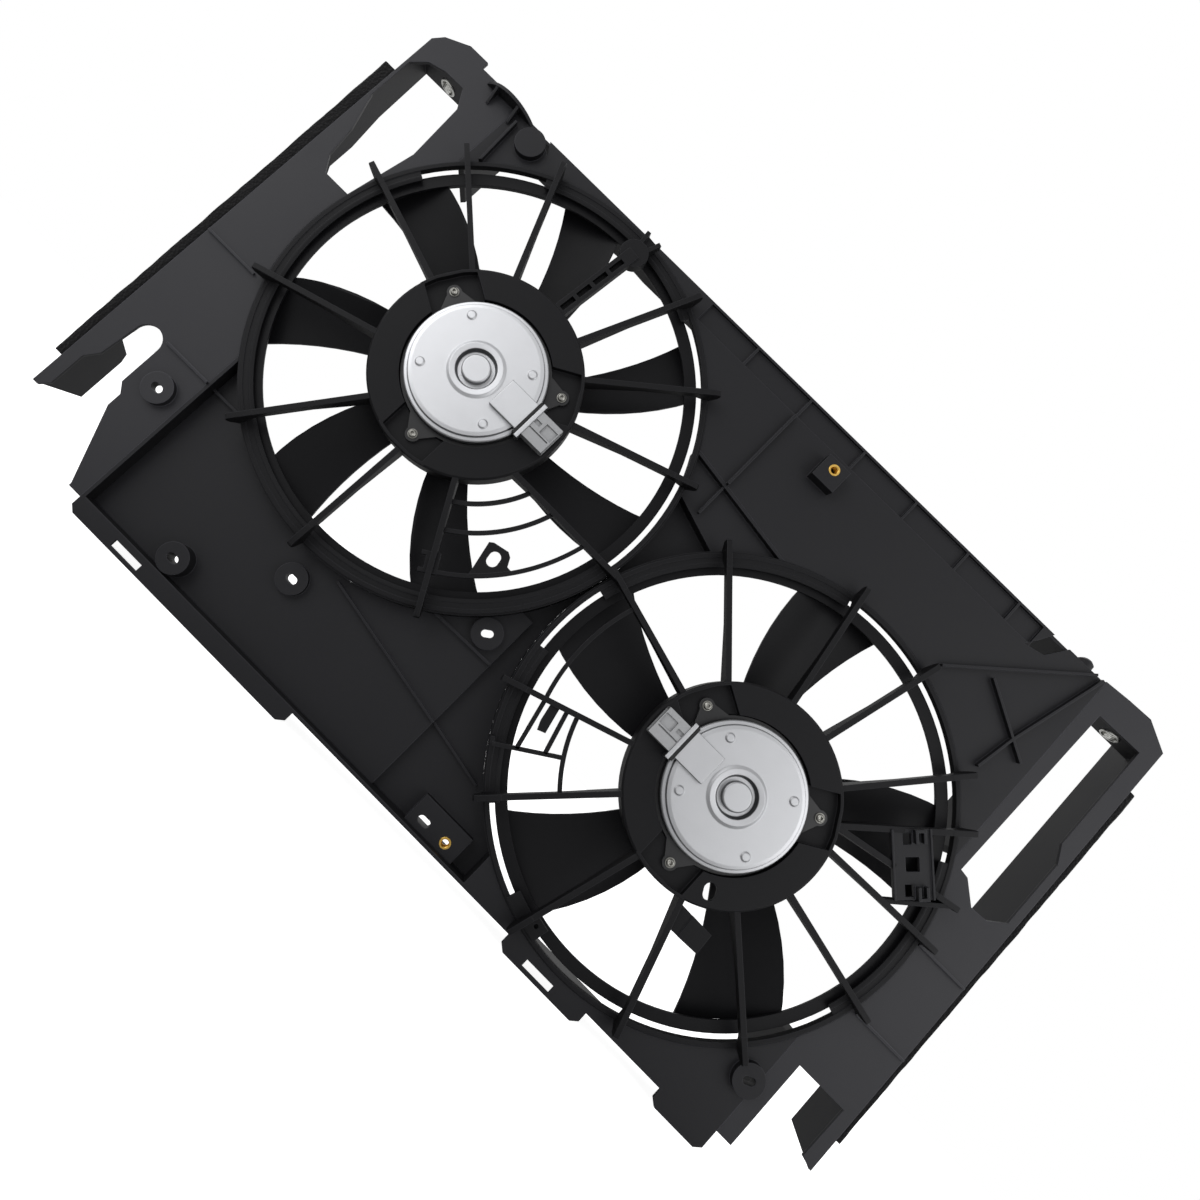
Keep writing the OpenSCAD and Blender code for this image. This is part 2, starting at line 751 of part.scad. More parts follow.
// Pressed motor cap with a stepped edge, a raised ring and the shaft boss
module motor_cap() color([0.75, 0.76, 0.78]) {
    difference() {
        turned() polygon([
            [0, cap_y], [boss_r - 0.8, cap_y], [boss_r, cap_y + 0.8], [boss_r, cap_y + 4.5], [13, cap_y + 4.5],
            [14.5, cap_y + 0.8], [18.5, cap_y + 0.5], [20.5, cap_y + 1.8], [cap_r - 6, cap_y + 1.8],
            [cap_r - 3.5, cap_y + 2.4], [cap_r - 3, cap_y + 4.4], [cap_r - 0.8, cap_y + 4.8], [cap_r, cap_y + 5.8],
            [cap_r, cap_skirt_back], [yoke_r, cap_skirt_back], [yoke_r, cap_y + 7], [cap_r - 5, cap_y + 4],
            [22, cap_y + 4], [20, cap_y + 8.5], [bearing_r, cap_y + 8.5], [bearing_r, cap_y + 1.8], [0, cap_y + 1.8]
        ]);
        translate([26, cap_y, -3]) cube([19, 6, 6]);
    }
    for (a = [40, 140, 218, 322]) turn(a) translate([38.5, 0, 0])
        turned() polygon([[0, cap_y + 1], [2.6, cap_y + 1], [3.6, cap_y + 2], [0, cap_y + 2]]);
}
// Drawn steel yoke, closed at the radiator end round the rear bearing
module yoke() color([0.12, 0.12, 0.12]) {
    inner_r = yoke_r - sheet;
    turned() polygon([
        [yoke_r, cap_skirt_back], [yoke_r, yoke_back - 2], [yoke_r - 2, yoke_back], [boss_r, yoke_back],
        [boss_r, yoke_back + 4], [shaft_r + 1, yoke_back + 4], [shaft_r + 1, yoke_back + 2.5],
        [bearing_r, yoke_back + 2.5], [bearing_r, yoke_back + 2.5 - bearing_l], [boss_r, yoke_back - sheet],
        [inner_r, yoke_back - sheet], [inner_r, cap_skirt_back]
    ]);
}
// Flat steel plate welded round the yoke, with three ears
module mounting_flange() color([0.1, 0.1, 0.1]) {
    difference() {
        plate(flange_front, flange_front + sheet) difference() {
            union() {
                circle(yoke_r + 4.5);
                for (a = screw_angles) rotate(a) {
                    polygon([[yoke_r, -15], [screw_pcr, -5], [screw_pcr, 5], [yoke_r, 15]]);
                    translate([screw_pcr, 0]) circle(5.4);
                }
            }
            circle(cap_r);
        }
        for (a = screw_angles) turn(a) translate([screw_pcr, 0, 0]) rod(screw_hole_r, flange_front - 1, flange_front + 5);
    }
}
module motor_screws() color([0.7, 0.7, 0.72]) {
    for (a = screw_angles) turn(a) translate([screw_pcr, 0, 0]) {
        turned() polygon([
            [0, flange_front - 1.6], [1, flange_front - 2.6], [2.6, flange_front - 2.4], [3.4, flange_front - 1.2],
            [3.4, flange_front], [0, flange_front]
        ]);
        rod(screw_hole_r - 0.1, flange_front - 0.5, hub_back + 4);
    }
}
module magnets() color([0.25, 0.25, 0.27]) {
    for (a = [0, 90, 180, 270]) turned_arc(a + 10, a + 80)
        translate([magnet_r, core_y - 2]) square([yoke_r - sheet - magnet_r, core_l + 4]);
}
module brush_holder() color([0.35, 0.25, 0.15]) {
    difference() {
        union() {
            tube(commutator_r + 3, yoke_r - sheet, plate_y, plate_y + plate_t);
            for (a = [45, 135, 225, 315]) turn(a)
                translate([commutator_r + 3, plate_y + plate_t - 0.5, -5]) cube([15, brush_box_l + 1, 10]);
        }
        for (a = [45, 135, 225, 315]) turn(a)
            translate([commutator_r, plate_y + plate_t, -3]) cube([17, brush_box_l - 1, 6]);
        rod(commutator_r + 3, plate_y - 1, plate_y + 20);
    }
}
module brushes() color([0.15, 0.15, 0.15]) {
    for (a = [45, 135, 225, 315]) turn(a) difference() {
        translate([commutator_r - 2, plate_y + plate_t, -3]) cube([17, brush_box_l - 1, 6]);
        rod(commutator_r + shaft_play, plate_y - 1, plate_y + 20);
    }
}
module bearing(front) {
    tube(shaft_r + shaft_play, bearing_r, front, front + bearing_l);
}
// Pressed cover over the leads between the cap and the connector
module terminal_cover() color([0.72, 0.73, 0.75]) {
    difference() {
        union() {
            translate([23.5, cap_y - 1.6, -11]) cube([27, 3.4, 23]);
            translate([50.5, cap_y - 2.6, -15]) cube([3, 8.6, 30]);
        }
        translate([26, cap_y - 0.2, -8.5]) cube([30, 4, 18]);
    }
}
module connector_shell() color([0.5, 0.51, 0.52]) {
    difference() {
        union() {
            translate([53.5, cap_y - 2, -12]) cube([20.5, 8.6, 24]);
            translate([56, cap_y - 3, -9]) cube([16, 1, 2]);
        }
        translate([57, cap_y - 0.4, -9.5]) cube([18, 5.6, 19]);
        translate([53, cap_y - 0.4, -6]) cube([5, 3, 3]);
        translate([53, cap_y - 0.4, 3]) cube([5, 3, 3]);
        for (z = [-7.5, 1.5]) translate([58, cap_y - 3, z]) cube([8, 3, 6]);
    }
}
module terminals() color([0.75, 0.7, 0.5]) {
    for (z = [-5.5, 3.5]) translate([27, cap_y, z]) cube([35, 1, 2]);
}
module shaft() color([0.7, 0.7, 0.72]) {
    turned() polygon([
        [0, cap_y + 2.2], [shaft_r - 0.5, cap_y + 2.2], [shaft_r, cap_y + 2.7], [shaft_r, shaft_end - 0.8],
        [shaft_r - 0.8, shaft_end], [0, shaft_end]
    ]);
}
module armature_core() color([0.4, 0.4, 0.42]) {
    difference() {
        rod(armature_r, core_y, core_y + core_l);
        rod(shaft_r, core_y - 1, core_y + core_l + 1);
        for (i = [0 : slots - 1]) turn(i * 360 / slots) {
            translate([slot_r, core_y - 1, -slot_w / 2]) cube([winding_r - slot_r, core_l + 2, slot_w]);
            translate([slot_r, core_y - 1, -0.8]) cube([armature_r, core_l + 2, 1.6]);
        }
    }
}
module windings() color([0.72, 0.42, 0.2]) {
    for (y = [core_y - winding_h, core_y + core_l]) tube(commutator_r + 3, winding_r, y, y + winding_h);
    for (i = [0 : slots - 1]) turn(i * 360 / slots)
        translate([slot_r, core_y - 1, -slot_w / 2]) cube([winding_r - slot_r - 0.5, core_l + 2, slot_w]);
}
module commutator() color([0.8, 0.5, 0.3]) {
    tube(shaft_r, commutator_r, core_y - winding_h - commutator_l, core_y - winding_h);
    tube(shaft_r, commutator_r + 3, core_y - winding_h, core_y);
}
module fan_nut() color([0.75, 0.75, 0.76]) {
    difference() {
        plate(cup_back + 8, cup_back + 8 + nut_h) circle(7, $fn = 6);
        rod(shaft_r, 0, shaft_end + 5);
    }
}

// Outline of one blade: it widens outwards and its tip leads the root
function blade_angle(r, span, root_span) = let(u = (r - cup_r) / (tip_r - cup_r))
    [sweep * pow(u, 1.3), (root_span + (span - root_span) * u) / 2];
module blade_2d(span, root_span) {
    steps = 8;
    r0 = cup_r - 1.2;
    radii = [for (i = [0 : steps]) r0 + (tip_r - r0) * i / steps];
    edge = [for (r = radii) let(b = blade_angle(max(r, cup_r), span, root_span))
        [r * cos(b[0] + b[1]), r * sin(b[0] + b[1])]];
    back = [for (i = [steps : -1 : 0]) let(b = blade_angle(max(radii[i], cup_r), span, root_span))
        [radii[i] * cos(b[0] - b[1]), radii[i] * sin(b[0] - b[1])]];
    polygon(concat(edge, back));
}
// Radius of an arc that falls by depth over a chord measured from its crown
function crown_r(chord, depth) = (chord * chord + depth * depth) / (2 * depth);
module blade_cone(slope) {
    h = 190;
    rotate([0, 0, -atan(slope)]) rotate([0, 90, 0]) cylinder(h = h, r1 = 0, r2 = h * slope, $fn = 128);
}
module blade(span, root_span) {
    root = [cup_r, cup_r * sin(root_span / 2) + ridge_lead];
    tip = [tip_r, tip_r * sin(sweep + span / 2) + ridge_lead];
    run = tip - root;
    root_crown = crown_r(ridge_lead + cup_r * root_span * PI / 180, root_depth);
    tip_crown = crown_r(ridge_lead + tip_r * span * PI / 180, tip_depth);
    slope = (tip_crown - root_crown) / norm(run);
    intersection() {
        plate(ring_y, cup_back) blade_2d(span, root_span);
        translate([root[0], blade_y, root[1]]) turn(atan2(run[1], run[0]))
            translate([-root_crown / slope, 0, 0]) difference() {
                blade_cone(slope);
                translate([0, -blade_t, 0]) blade_cone(slope);
            }
    }
}
module fan_wheel(blades, span, root_span, start) {
    turned() polygon([
        [ring_r - ring_w, ring_y], [ring_r, ring_y], [ring_r, ring_y + ring_depth], [ring_r - blade_t, ring_y + ring_depth],
        [ring_r - blade_t, ring_y + 2], [ring_r - ring_w, ring_y + 2]
    ]);
    turned() polygon([
        [cup_r, ring_y - 1], [cup_r, cup_back - 3], [cup_r - 3, cup_back], [12, cup_back], [12, cup_back + 8],
        [shaft_r, cup_back + 8], [shaft_r, cup_back - 5], [12, cup_back - 5], [12, cup_back - 2.5],
        [cup_r - 4, cup_back - 2.5], [cup_r - 2.5, cup_back - 4], [cup_r - 2.5, ring_y - 1]
    ]);
    for (i = [0 : blades - 1]) turn(start + i * 360 / blades) blade(span, root_span);
}
module left_fan_wheel() color([0.1, 0.1, 0.11]) {
    at_left() fan_wheel(left_blades, left_tip_span, left_root_span, left_start);
}
module right_fan_wheel() color([0.1, 0.1, 0.11]) {
    right_hand() fan_wheel(right_blades, right_tip_span, right_root_span, right_start);
}

shroud_panel();
recessed_panel();
lower_flange();
left_wing();
right_wing();
left_fan_port();
right_fan_port();
left_motor_carrier();
right_motor_carrier();
left_finger_guard();
right_finger_guard();
module_bracket();
left_side_seal();
right_side_seal();
left_bolt_sleeve();
right_bolt_sleeve();
upper_threaded_insert();
lower_threaded_insert();
at_left() motor_cap();  // left_motor_cap
at_left() yoke();  // left_yoke
at_left() mounting_flange();  // left_mounting_flange
at_left() motor_screws();  // left_motor_screws
at_left() magnets();  // left_magnets
at_left() brush_holder();  // left_brush_holder
at_left() brushes();  // left_brushes
at_left() bearing(cap_y + 2.5);  // left_cap_bearing
at_left() bearing(yoke_back + 2.5 - bearing_l);  // left_yoke_bearing
at_left() terminal_cover();  // left_terminal_cover
at_left() connector_shell();  // left_connector
at_left() terminals();  // left_terminals
at_left() shaft();  // left_shaft
at_left() armature_core();  // left_armature_core
at_left() windings();  // left_windings
at_left() commutator();  // left_commutator
left_fan_wheel();
at_left() fan_nut();  // left_fan_nut
right_hand() motor_cap();  // right_motor_cap
right_hand() yoke();  // right_yoke
right_hand() mounting_flange();  // right_mounting_flange
right_hand() motor_screws();  // right_motor_screws
right_hand() magnets();  // right_magnets
right_hand() brush_holder();  // right_brush_holder
right_hand() brushes();  // right_brushes
right_hand() bearing(cap_y + 2.5);  // right_cap_bearing
right_hand() bearing(yoke_back + 2.5 - bearing_l);  // right_yoke_bearing
right_hand() terminal_cover();  // right_terminal_cover
right_hand() connector_shell();  // right_connector
right_hand() terminals();  // right_terminals
right_hand() shaft();  // right_shaft
right_hand() armature_core();  // right_armature_core
right_hand() windings();  // right_windings
right_hand() commutator();  // right_commutator
right_fan_wheel();
right_hand() fan_nut();  // right_fan_nut
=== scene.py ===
"""Looks of a twin radiator cooling fan: shroud, fan wheels, motors, seals, fixings and the studio."""

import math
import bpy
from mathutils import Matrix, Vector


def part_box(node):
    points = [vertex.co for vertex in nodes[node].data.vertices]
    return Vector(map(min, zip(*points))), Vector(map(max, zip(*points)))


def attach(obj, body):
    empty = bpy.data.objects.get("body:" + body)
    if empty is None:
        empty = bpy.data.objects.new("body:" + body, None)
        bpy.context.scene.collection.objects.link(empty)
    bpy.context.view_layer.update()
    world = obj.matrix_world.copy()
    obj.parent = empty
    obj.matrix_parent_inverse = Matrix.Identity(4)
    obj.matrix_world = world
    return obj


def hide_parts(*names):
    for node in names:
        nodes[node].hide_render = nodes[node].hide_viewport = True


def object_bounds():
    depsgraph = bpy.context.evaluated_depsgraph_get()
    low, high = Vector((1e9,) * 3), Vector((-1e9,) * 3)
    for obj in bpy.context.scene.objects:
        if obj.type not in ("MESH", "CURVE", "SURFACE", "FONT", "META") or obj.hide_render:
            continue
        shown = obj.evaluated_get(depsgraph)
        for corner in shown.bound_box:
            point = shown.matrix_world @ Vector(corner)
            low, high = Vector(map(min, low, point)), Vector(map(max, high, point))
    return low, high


bl_info = {
    "name": "Radiator cooling fan",
    "version": (1, 0, 0),
    "blender": (4, 5, 0),
    "location": "View3D > Sidebar > Cooling Fan",
    "description": "Dresses a twin radiator cooling fan with moulded, pressed and foam finishes",
    "category": "Object",
}

import bmesh
import bpy
from bpy.props import FloatProperty, FloatVectorProperty, PointerProperty
from bpy.types import Operator, Panel, PropertyGroup
from mathutils import Matrix, Vector, noise
from mathutils.geometry import tessellate_polygon

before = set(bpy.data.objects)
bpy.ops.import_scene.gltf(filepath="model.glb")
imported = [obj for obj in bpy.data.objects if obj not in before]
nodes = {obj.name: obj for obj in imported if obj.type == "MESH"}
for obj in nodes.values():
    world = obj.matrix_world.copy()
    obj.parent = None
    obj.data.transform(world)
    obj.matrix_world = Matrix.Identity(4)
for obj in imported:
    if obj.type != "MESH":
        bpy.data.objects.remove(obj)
cad_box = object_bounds()
MM = 0.001
SIDES = ("left", "right")

# The CAD's own sizes that the added pieces are fitted to, in millimetres. A depth is that of a front face
DECK_Y, LIP_Y, SPOKE_Y, GUARD_Y, CAP_Y = -14.5, -17, -28, -27, -40
PEG_X, TOP_Z = 295.5, 13
SPOKE_ROOT_R, SPOKE_TIP_R, SPOKE_T, SCREW_CIRCLE_R = 72.3, 166, 4, 61
# Angles of each spoke at its root and at its tip, in degrees, and of the wide spoke
LEFT_SPOKES = (
    (114, 114), (64.5, 66.5), (43, 42), (17, 18.5), (335, 349.3), (304.5, 302), (271, 269),
    (238.5, 236), (203, 199), (160, 161), (137.6, 137.8),
)
RIGHT_SPOKES = (
    (99.5, 99), (74.4, 74.7), (47.7, 48.6), (28.2, 35.3), (28.2, 18.3), (15.5, 7.7), (344.5, 345.7),
    (315.4, 316.5), (286.4, 287.3), (255.6, 255), (223.7, 225.2), (198, 198), (160.2, 162.2), (136, 134),
)
WIDE_SPOKE = 84.5

# Sizes of the added pieces, in millimetres. A hair keeps touching plates from sharing a face
GUARD_T = 3
HAIR = 0.05
LEDGE_W, LEDGE_D, LEDGE_T = 46, 11, 2.5
# Reach along X from the wheel's axis of the near-black painted shade at a connector's root
GROOVE_SHADE_END = 50.45


def wheel_axis(side):
    """The middle of a wheel's hub at rest."""
    low, high = (Vector(c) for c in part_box(f"{side}_shaft"))
    return (low + high) / 2


# Colours and nodes


def linear(code):
    """An sRGB hex colour as the linear colour that shaders take."""
    parts = [int(code[i : i + 2], 16) / 255 for i in (1, 3, 5)]
    return tuple(c / 12.92 if c <= 0.04045 else ((c + 0.055) / 1.055) ** 2.4 for c in parts)


def per_mm(size):
    """Texture scale at which one feature of the pattern is this many millimetres wide."""
    return 1000 / size


def add_node(tree, kind, sockets=None, **settings):
    """Adds a node, gives it its settings, and sets or links its sockets."""
    made = tree.nodes.new(kind)
    for name, value in settings.items():
        setattr(made, name, value)
    for name, value in (sockets or {}).items():
        if isinstance(value, bpy.types.NodeSocket):
            tree.links.new(value, made.inputs[name])
        else:
            made.inputs[name].default_value = value
    return made


def new_material(name):
    """An empty node material and its tree."""
    material = bpy.data.materials.new(name)
    material.use_nodes = True
    material.node_tree.nodes.clear()
    return material, material.node_tree


def finish_material(material, surface):
    """Gives a material its surface, a shader or the sockets of a Principled one, and returns it."""
    tree = material.node_tree
    if isinstance(surface, dict):
        surface = add_node(tree, "ShaderNodeBsdfPrincipled", surface)
    add_node(tree, "ShaderNodeOutputMaterial", {"Surface": surface.outputs[0]})
    return material


def object_place(tree):
    """Coordinates in metres that stay with the piece."""
    return add_node(tree, "ShaderNodeTexCoord").outputs["Object"]


def tone(tree, colour, factor, low, high):
    """The colour made darker or lighter by a factor that runs from 0 to 1."""
    amount = add_node(
        tree, "ShaderNodeMapRange", {"Value": factor, "To Min": low, "To Max": high}
    )
    return add_node(
        tree,
        "ShaderNodeHueSaturation",
        {"Color": (*colour, 1), "Value": amount.outputs["Result"]},
    ).outputs["Color"]


def ranged(tree, factor, low, high):
    """A number between two limits that follows a factor from 0 to 1."""
    return add_node(
        tree, "ShaderNodeMapRange", {"Value": factor, "To Min": low, "To Max": high}
    ).outputs["Result"]


def speckle(tree, place, width, **settings):
    """Noise whose features are this many millimetres wide, from 0 to 1."""
    sockets = {"Vector": place, "Scale": per_mm(width), **settings}
    return add_node(tree, "ShaderNodeTexNoise", sockets).outputs["Fac"]


def bump(tree, strength, distance, height, **normal):
    """A normal that follows a height, over another normal where one is given."""
    sockets = {"Strength": strength, "Distance": distance, "Height": height, **normal}
    return add_node(tree, "ShaderNodeBump", sockets).outputs["Normal"]


def calculated(tree, operation, *values):
    """The result of one step of arithmetic."""
    return add_node(tree, "ShaderNodeMath", dict(enumerate(values)), operation=operation).outputs[0]


def rounded_edges(tree, radius):
    """A normal that rounds the edges, and a mask that is 1 on them and 0 on the flats."""
    rounded = add_node(tree, "ShaderNodeBevel", {"Radius": radius}, samples=6).outputs["Normal"]
    flat = add_node(tree, "ShaderNodeNewGeometry").outputs["Normal"]
    likeness = add_node(
        tree, "ShaderNodeVectorMath", {0: rounded, 1: flat}, operation="DOT_PRODUCT"
    ).outputs["Value"]
    mask = add_node(
        tree, "ShaderNodeMapRange", {"Value": likeness, "From Min": 1.0, "From Max": 0.8}
    ).outputs["Result"]
    return rounded, mask


def mixed(tree, mask, first, second):
    """The first colour where the mask is 0 and the second where it is 1."""
    return add_node(
        tree, "ShaderNodeMixRGB", {"Fac": mask, "Color1": first, "Color2": second}, blend_type="MIX"
    ).outputs["Color"]


def painted_wall_shade(tree, colour, low):
    """The colour darkened on walls that run along the depth as painted shade, and kept on faces that look
    along it.
    """
    normal = add_node(tree, "ShaderNodeNewGeometry").outputs["Normal"]
    depth = add_node(tree, "ShaderNodeSeparateXYZ", {"Vector": normal}).outputs["Y"]
    flat = calculated(tree, "ABSOLUTE", depth)
    amount = add_node(
        tree, "ShaderNodeMapRange", {"Value": flat, "From Min": 0.35, "From Max": 0.95, "To Min": low}
    ).outputs["Result"]
    return add_node(tree, "ShaderNodeHueSaturation", {"Color": colour, "Value": amount}).outputs["Color"]


def painted_edge_light(tree, colour, mask, lighter):
    """The colour with a painted highlight on its edges, or painted shade on them below 1."""
    edge = add_node(tree, "ShaderNodeHueSaturation", {"Color": colour, "Value": lighter}).outputs["Color"]
    return mixed(tree, mask, colour, edge)


# Meshes


def new_piece(name, work, material, slot, body, *replaced):
    """Turns bmesh work into a piece that rides on a body and can stand for CAD nodes."""
    bmesh.ops.remove_doubles(work, verts=work.verts, dist=1e-6)
    bmesh.ops.recalc_face_normals(work, faces=work.faces)
    mesh = bpy.data.meshes.new(name)
    work.to_mesh(mesh)
    work.free()
    mesh.shade_smooth()
    mesh.set_sharp_from_angle(angle=math.radians(35))
    mesh.materials.append(material)
    piece = bpy.data.objects.new(name, mesh)
    bpy.context.collection.objects.link(piece)
    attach(piece, body)
    if replaced:
        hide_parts(*replaced)


def plain(radius):
    """A round ring."""
    return lambda turn: radius


def hexagon(flats):
    """A ring with six flats, measured across them."""
    sixth = math.pi / 3
    return lambda turn: flats / 2 / math.cos((turn % sixth) - sixth / 2)


def lobed(radius, depth, lobes):
    """A ring that waves in and out."""
    return lambda turn: radius + depth * math.cos(lobes * turn)


def superellipse(turn, half_u, half_v, corner):
    """A point on a rectangle with round corners, found by a full turn round it."""
    reach = max(abs(math.cos(turn)) / half_u, abs(math.sin(turn)) / half_v)
    u, v = math.cos(turn) / reach, math.sin(turn) / reach
    core_u, core_v = half_u - corner, half_v - corner
    over = Vector((max(abs(u) - core_u, 0), max(abs(v) - core_v, 0)))
    if over.x > 0 and over.y > 0:
        over = over.normalized() * corner
        u = math.copysign(core_u + over.x, u)
        v = math.copysign(core_v + over.y, v)
    return u, v


def add_rings(work, rings, place, steps=48, closed=False):
    """Skins rings that stand along Y at a place. Each ring is a shape and a depth, and the ends are filled
    unless the rings close on themselves."""
    made = []
    for shape, depth in rings:
        ring = []
        for i in range(steps):
            turn = 2 * math.pi * i / steps
            r = shape(turn)
            point = (place[0] + r * math.cos(turn), place[1] + depth, place[2] + r * math.sin(turn))
            ring.append(work.verts.new(point))
        made.append(ring)
    pairs = list(zip(made, made[1:] + made[:1])) if closed else list(zip(made, made[1:]))
    for a, b in pairs:
        for i in range(steps):
            j = (i + 1) % steps
            work.faces.new((a[i], a[j], b[j], b[i]))
    if not closed:
        work.faces.new(made[0])
        work.faces.new(made[-1])


def add_plate(work, loops, front, back, place):
    """A flat plate in X and Z between two depths, all in millimetres. The first outline is its outside."""
    flat = [[Vector((x, z, 0)) for x, z in loop] for loop in loops]
    near, far = (
        [work.verts.new(place @ Vector((p.x * MM, y * MM, p.y * MM))) for loop in flat for p in loop]
        for y in (front, back)
    )
    for a, b, c in tessellate_polygon(flat):
        work.faces.new((near[a], near[b], near[c]))
        work.faces.new((far[c], far[b], far[a]))
    start = 0
    for loop in flat:
        count = len(loop)
        for i in range(count):
            j = (i + 1) % count
            work.faces.new((near[start + i], near[start + j], far[start + j], far[start + i]))
        start += count


def block(x0, x1, z0, z1):
    """A rectangle as an outline."""
    return [(x0, z0), (x1, z0), (x1, z1), (x0, z1)]


def oval(x, z, length, width, turn):
    """An outline with straight sides and round ends, turned by an angle in degrees."""
    points = []
    for i in range(32):
        around = 2 * math.pi * (i + 0.5) / 32
        u = width / 2 * math.cos(around) + math.copysign((length - width) / 2, math.cos(around))
        points.append(turned(u, width / 2 * math.sin(around), turn))
    return [(x + u, z + v) for u, v in points]


def turned(u, v, turn):
    """A point turned round the origin by an angle in degrees."""
    c, s = math.cos(math.radians(turn)), math.sin(math.radians(turn))
    return u * c - v * s, u * s + v * c


def arc(radius, start, stop):
    """The outline of a guard bar bent round the wheel's axis between two angles."""
    steps = max(int(abs(stop - start) / 1.5), 2)
    turns = [start + (stop - start) * i / steps for i in range(steps + 1)]
    outside = [turned(radius + GUARD_T / 2, 0, turn) for turn in turns]
    return outside + [turned(radius - GUARD_T / 2, 0, turn) for turn in reversed(turns)]


def straight(x0, z0, x1, z1):
    """The outline of a straight guard bar between two points."""
    along = Vector((x1 - x0, z1 - z0)).normalized()
    side = Vector((-along.y, along.x)) * GUARD_T / 2
    ends = (Vector((x0, z0)), Vector((x1, z1)))
    return [tuple(p) for p in (ends[0] - side, ends[1] - side, ends[1] + side, ends[0] + side)]


def about_x(turn):
    """A turn about X by an angle in degrees."""
    return Matrix.Rotation(math.radians(turn), 4, "X")


def about_y(turn):
    """A turn about Y by an angle in degrees that runs from X up to Z."""
    return Matrix.Rotation(math.radians(-turn), 4, "Y")


def at_wheel(side):
    """The place of a wheel's axis on the plane that depths are counted from."""
    axis = wheel_axis(side)
    return Matrix.Translation((axis.x, 0, axis.z))


# Materials


def glass_filled_nylon(colour, grain, edge, gloss):
    """Glass-filled nylon from a spark-eroded mould: matt, faintly mottled, with softly broken edges."""
    material, tree = new_material("Glass-filled nylon, moulded")
    place = object_place(tree)
    flow = speckle(tree, place, 60, Detail=4.0, Roughness=0.55)
    texture = speckle(tree, place, grain, Detail=3.0, Roughness=0.7)
    rounded, mask = rounded_edges(tree, edge)
    # Painted shade darkens the walls that run along the depth
    shaded = painted_wall_shade(tree, tone(tree, colour, flow, 0.86, 1.14), 0.4)
    return finish_material(
        material,
        {
            # A painted highlight makes the moulded edges lighter
            "Base Color": painted_edge_light(tree, shaded, mask, 3.6),
            "Roughness": ranged(tree, flow, 0.52, 0.64),
            "IOR": 1.53,
            "Specular IOR Level": gloss,
            "Normal": bump(tree, 0.12, 0.4 * MM, texture, Normal=rounded),
        },
    )


def satin_nylon(colour, edge):
    """Nylon from a polished mould: a smooth blade skin with a soft highlight and faint flow lines."""
    material, tree = new_material("Nylon blade skin, satin")
    place = object_place(tree)
    flow = speckle(tree, place, 45, Detail=5.0, Distortion=0.8)
    fine = speckle(tree, place, 2.2, Detail=2.0)
    rounded, mask = rounded_edges(tree, edge)
    return finish_material(
        material,
        {
            # A painted highlight makes the blade edges lighter
            "Base Color": painted_edge_light(tree, tone(tree, colour, flow, 0.9, 1.1), mask, 1.6),
            "Roughness": ranged(tree, flow, 0.42, 0.52),
            "IOR": 1.53,
            "Specular IOR Level": 0.11,
            "Normal": bump(tree, 0.05, 0.3 * MM, fine, Normal=rounded),
        },
    )


def open_cell_foam(colour):
    """Open-cell polyurethane foam: near black, no gloss, with cells drawn 2 mm wide so that they show."""
    material, tree = new_material("Polyurethane foam, open cell")
    place = object_place(tree)
    cells = add_node(
        tree, "ShaderNodeTexVoronoi", {"Vector": place, "Scale": per_mm(2.0), "Randomness": 1.0}
    ).outputs["Distance"]
    lumps = speckle(tree, place, 9, Detail=5.0)
    return finish_material(
        material,
        {
            "Base Color": tone(tree, colour, lumps, 0.6, 1.5),
            "Roughness": 0.95,
            "Specular IOR Level": 0.15,
            "Sheen Weight": 0.12,
            "Normal": bump(tree, 0.7, 1 * MM, cells),
        },
    )


def pressed_zinc_sheet(colour):
    """Zinc-coated steel sheet, pressed: pale grey, with a fine frosted grain and a slow mottle of oil."""
    material, tree = new_material("Zinc-coated steel sheet, pressed")
    place = object_place(tree)
    mottle = speckle(tree, place, 18, Detail=4.0)
    frost = speckle(tree, place, 1.1, Detail=4.0, Roughness=0.75)
    rounded, mask = rounded_edges(tree, 1.1 * MM)
    # Painted shade darkens the walls that run along the depth
    shaded = painted_wall_shade(tree, tone(tree, colour, mottle, 0.94, 1.06), 0.35)
    return finish_material(
        material,
        {
            # Painted shade makes the pressed edges darker
            "Base Color": painted_edge_light(tree, shaded, mask, 0.45),
            "Metallic": 1.0,
            "Roughness": ranged(tree, mottle, 0.36, 0.48),
            "Normal": bump(tree, 0.14, 0.3 * MM, frost, Normal=rounded),
        },
    )


def plated_steel(colour):
    """Zinc-plated steel, turned: bright, with turning marks too fine to see one by one."""
    material, tree = new_material("Zinc-plated steel, turned")
    wear = speckle(tree, object_place(tree), 3, Detail=4.0)
    return finish_material(
        material,
        {
            "Base Color": tone(tree, colour, wear, 0.85, 1.1),
            "Metallic": 1.0,
            "Roughness": ranged(tree, wear, 0.22, 0.38),
        },
    )


def black_coated_steel(colour):
    """Drawn steel under black electrocoat: smooth, half gloss, with softly rounded edges."""
    material, tree = new_material("Drawn steel, black electrocoat")
    film = speckle(tree, object_place(tree), 6, Detail=3.0)
    rounded = add_node(tree, "ShaderNodeBevel", {"Radius": 0.5 * MM}, samples=4).outputs["Normal"]
    return finish_material(
        material,
        {
            "Base Color": tone(tree, colour, film, 0.85, 1.15),
            "Roughness": ranged(tree, film, 0.3, 0.42),
            "Specular IOR Level": 0.4,
            "Normal": bump(tree, 0.08, 0.2 * MM, film, Normal=rounded),
        },
    )


